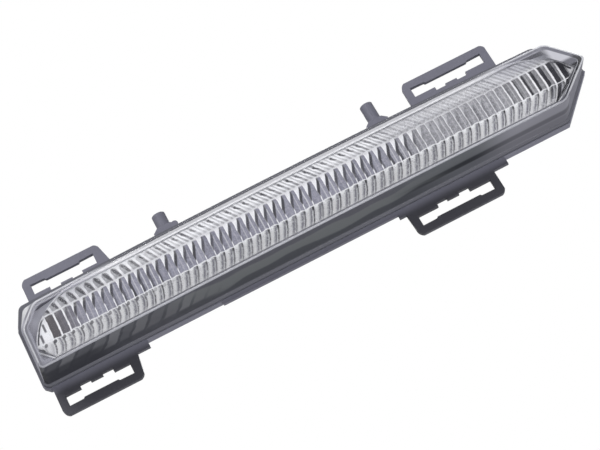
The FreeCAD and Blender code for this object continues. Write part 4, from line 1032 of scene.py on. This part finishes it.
def buildOpticLip(o, p):
    # a band round the optic's outline: a dark gap that widens towards the right end, then a pale raised
    # lip; each section is carried along the outline's outward normal
    x = o.left + (o.right - o.left) * (1 - np.cos(np.linspace(0, math.pi, p.samples))) / 2
    high, low = opticLimits(x, o)
    loop = np.concatenate([np.column_stack([x, high]), np.column_stack([x, low])[::-1][1:-1]])
    tangent = np.roll(loop, -1, 0) - np.roll(loop, 1, 0)
    tangent /= np.linalg.norm(tangent, axis=1)[:, None]
    normal = np.stack([-tangent[:, 1], tangent[:, 0]], 1)
    right = np.clip((loop[:, 0] - p.rightEnd) / (o.right - p.rightEnd), 0, 1)
    gap = p.gap + (p.rightGap - p.gap) * right ** 1.5
    foot, floor, shoulder = p.foot - p.sink, p.foot + p.floor, p.front - p.soft
    # share of the gap, distance past it and depth
    section = ((0.05, 0.0, foot), (0.5, 0.0, floor), (0.97, 0.0, floor), (1.0, 0.0, shoulder),
               (1.0, p.soft, p.front), (1.0, p.lip - p.soft, p.front),
               (1.0, p.lip, shoulder), (1.0, p.lip, foot))
    rings = [atDepth(loop + normal * (gap * share + past)[:, None], -depth)
             for share, past, depth in section]
    count = len(loop)
    uv = np.stack([np.tile(np.linspace(0, 1, count), len(rings)),
                   np.repeat(np.arange(len(rings), dtype=float), count)], -1)
    faces = ringFaces(len(rings), count, closeAlong=True)
    return mergedFaces(newPiece("opticLip", np.concatenate(rings), faces, uv, smooth=False))


def lipMaterial(p):
    material, kit, shader = newMaterial("lipPlastic")
    x = kit.lampPlace()[0]
    # the gap is painted near-black near both ends and pale between: painted shade in the gap
    atEnds = x.zone(p.darkRight).most(1 - x.zone(p.darkLeft))
    pale = kit.mix(kit.noise(kit.place(), 700.0), *p.pale)
    gap = 1 - kit.uv()[1].zone(p.gapEdge)
    kit.fill(shader, {"Base Color": kit.mix(gap, pale, kit.mix(atEnds, *p.gapTones)),
                      "Roughness": p.roughness})
    return material


settle(buildOpticLip(optic, opticLip), "bezel_grey", lipMaterial(opticLip))
print("optic lip built")


# Housing, cover, heat sink and the small parts: the solids with eased edges and their finishes

mouldedGrain = mouldedGrainGroup()


def plasticMaterial(name, tones, roughness, scale, mottle, bump, change=None):
    # change gives an axis, two places on it in mm and the tones before the first place
    material, kit, shader = newMaterial(name)
    share, rough, height = kit.values("ShaderNodeGroup", ("Share", "Rough", "Height"), {
        "Scale": scale, "Mottle": mottle, "Roughness": roughness}, node_tree=mouldedGrain)
    color = kit.mix(share, *tones)
    if change:
        axis, start, end, before = change
        past = (kit.parts(kit.place())["XYZ".index(axis)] * 1000.0).band(start, end)
        color = kit.mix(past, kit.mix(share, *before), color)
    kit.fill(shader, {"Base Color": color, "Roughness": rough, "Specular IOR Level": 0.14,
                      "Normal": kit.bump(height, bump, 0.0002)})
    return material


def metalMaterial(name, tones, roughness, scale, stretch):
    material, kit, shader = newMaterial(name)
    place = kit.value("ShaderNodeMapping", "Vector", {"Vector": kit.place(), "Scale": stretch})
    streak = kit.noise(place, scale, 4.0)
    kit.fill(shader, {"Metallic": 1.0, "Base Color": kit.mix(streak, *tones),
                      "Roughness": (streak - 0.5) * 0.3 + roughness,
                      "Normal": kit.bump(streak, 0.15, 0.0001)})
    return material


def boardMaterial():
    # solder mask with lighter copper runs under it
    material, kit, shader = newMaterial("boardMask")
    turned = kit.value("ShaderNodeMapping", "Vector", {
        "Vector": kit.place(), "Rotation": (math.radians(90), 0, 0)})
    bricks = kit.value("ShaderNodeTexBrick", "Color", {
        "Vector": turned, "Scale": 130.0, "Mortar Size": 0.06, "Color1": (0.01, 0.10, 0.04, 1),
        "Color2": (0.012, 0.13, 0.05, 1), "Mortar": (0.03, 0.22, 0.09, 1)})
    kit.fill(shader, {"Base Color": bricks, "Roughness": 0.35})
    return material


def ledMaterial():
    # pale ceramic with a yellow square of phosphor on the raised face, which is the front 0.3 mm
    material, kit, shader = newMaterial("ledCeramic")
    place = kit.place()
    step, soft = -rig.box("led_1")[0].y - 0.0003, 1e-5
    raised = (kit.parts(place)[1] * -1.0).band(step - soft, step + soft)
    spots = kit.noise(place, 2500.0, 2.0)
    ceramic = kit.mix(spots, grey(0.72), grey(0.84))
    phosphor = kit.mix(spots, (0.75, 0.62, 0.08, 1), (0.9, 0.78, 0.16, 1))
    kit.fill(shader, {"Base Color": kit.mix(raised, ceramic, phosphor), "Roughness": 0.4})
    return material


# two tones, roughness, scale of the grain, mottle and bump, and a change along an axis
plastics = {
    # housingPlastic's darker tones below -26.5 to -21.5 mm on Z are painted shade, the shadow that the lens body casts
    # on the lower tabs
    "housingPlastic": (((0.135, 0.135, 0.172, 1), (0.195, 0.195, 0.238, 1)), 0.5, 1400.0, 0.8, 0.25,
                       ("Z", -26.5, -21.5, ((0.045, 0.045, 0.055, 1), (0.07, 0.07, 0.084, 1)))),
    "bezelPlastic": (((0.58, 0.59, 0.63, 1), (0.66, 0.67, 0.71, 1)), 0.4, 900.0, 0.5, 0.08,
                     ("X", -131.0, -118.0, ((0.32, 0.32, 0.37, 1), (0.44, 0.44, 0.49, 1)))),
    "coverPlastic": ((grey(0.035), grey(0.06)), 0.45, 1200.0, 0.8, 0.3),
    "sealRubber": ((grey(0.02), grey(0.045)), 0.75, 700.0, 0.6, 0.3),
    "padSilicone": ((grey(0.35), grey(0.42)), 0.8, 600.0, 0.6, 0.3),
    "chipResin": ((grey(0.02), grey(0.04)), 0.5, 1500.0, 0.4, 0.2),
    "breatherFilm": ((grey(0.78), grey(0.85)), 0.9, 2500.0, 0.4, 0.4),
}
# two tones, roughness, scale of the streaks and their stretch
metals = {
    "castAluminium": ((grey(0.4), grey(0.58)), 0.45, 500.0, (0.3, 1, 1)),
    "zincSteel": ((grey(0.5), grey(0.66)), 0.32, 900.0, (1, 1, 1)),
    "brightBrass": (((0.7, 0.56, 0.3, 1), (0.82, 0.7, 0.42, 1)), 0.25, 900.0, (1, 0.2, 1)),
    "canMetal": ((grey(0.7), grey(0.8)), 0.25, 900.0, (1, 0.2, 1)),
    "mirrorMetal": (((0.8, 0.81, 0.85, 1), (0.88, 0.89, 0.92, 1)), 0.12, 30.0, (1, 1, 1)),
}
finishes = {"boardMask": boardMaterial(), "ledCeramic": ledMaterial()}
finishes.update({name: plasticMaterial(name, *values) for name, values in plastics.items()})
finishes.update({name: metalMaterial(name, *values) for name, values in metals.items()})

# node, new piece, width of its eased edges, slot and finish
softened = (
    ("rear_housing", "rearHousing", 0.25, "housing_plastic", "housingPlastic"),
    ("inner_bezel", "innerBezel", 0.2, "bezel_grey", "bezelPlastic"),
    ("reflector", "bowlReflector", 0.15, "reflector_metal", "mirrorMetal"),
    ("heat_sink", "heatSink", 0.25, "heat_sink_metal", "castAluminium"),
    ("rear_cover", "rearCover", 0.3, "cover_plastic", "coverPlastic"),
    ("vent_cap", "ventCap", 0.4, "seal_rubber", "sealRubber"),
    ("heat_sink_screws", "heatSinkScrews", 0.2, "screw_steel", "zincSteel"),
    ("rear_cover_screws", "rearCoverScrews", 0.2, "screw_steel", "zincSteel"),
)
for node, name, width, slot, finish in softened:
    settle(softenedCopy(node, name, width), slot, finishes[finish])

# finish: the nodes that keep their own mesh
plainNodes = {
    "sealRubber": ("lens_seal", "rear_cover_seal"),
    "boardMask": ("led_board", "driver_board"),
    "padSilicone": ("thermal_pad",),
    "chipResin": ("driver_chip", "driver_coil", "board_link"),
    "canMetal": ("driver_capacitor_1", "driver_capacitor_2"),
    "breatherFilm": ("vent_membrane",),
    "zincSteel": ("driver_board_screws",),
    "ledCeramic": ("led_1", "led_2", "led_3", "led_4"),
    "brightBrass": ("terminal_1", "terminal_2", "terminal_3"),
}
for finish, plain in plainNodes.items():
    for node in plain:
        dress(nodes[node], finishes[finish])
print("solids finished")

low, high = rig.bounds()
with open("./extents.json", "w") as sizeFile:
    json.dump({"cad": [list(cadLow), list(cadHigh)], "visual": [list(low), list(high)]}, sizeFile)
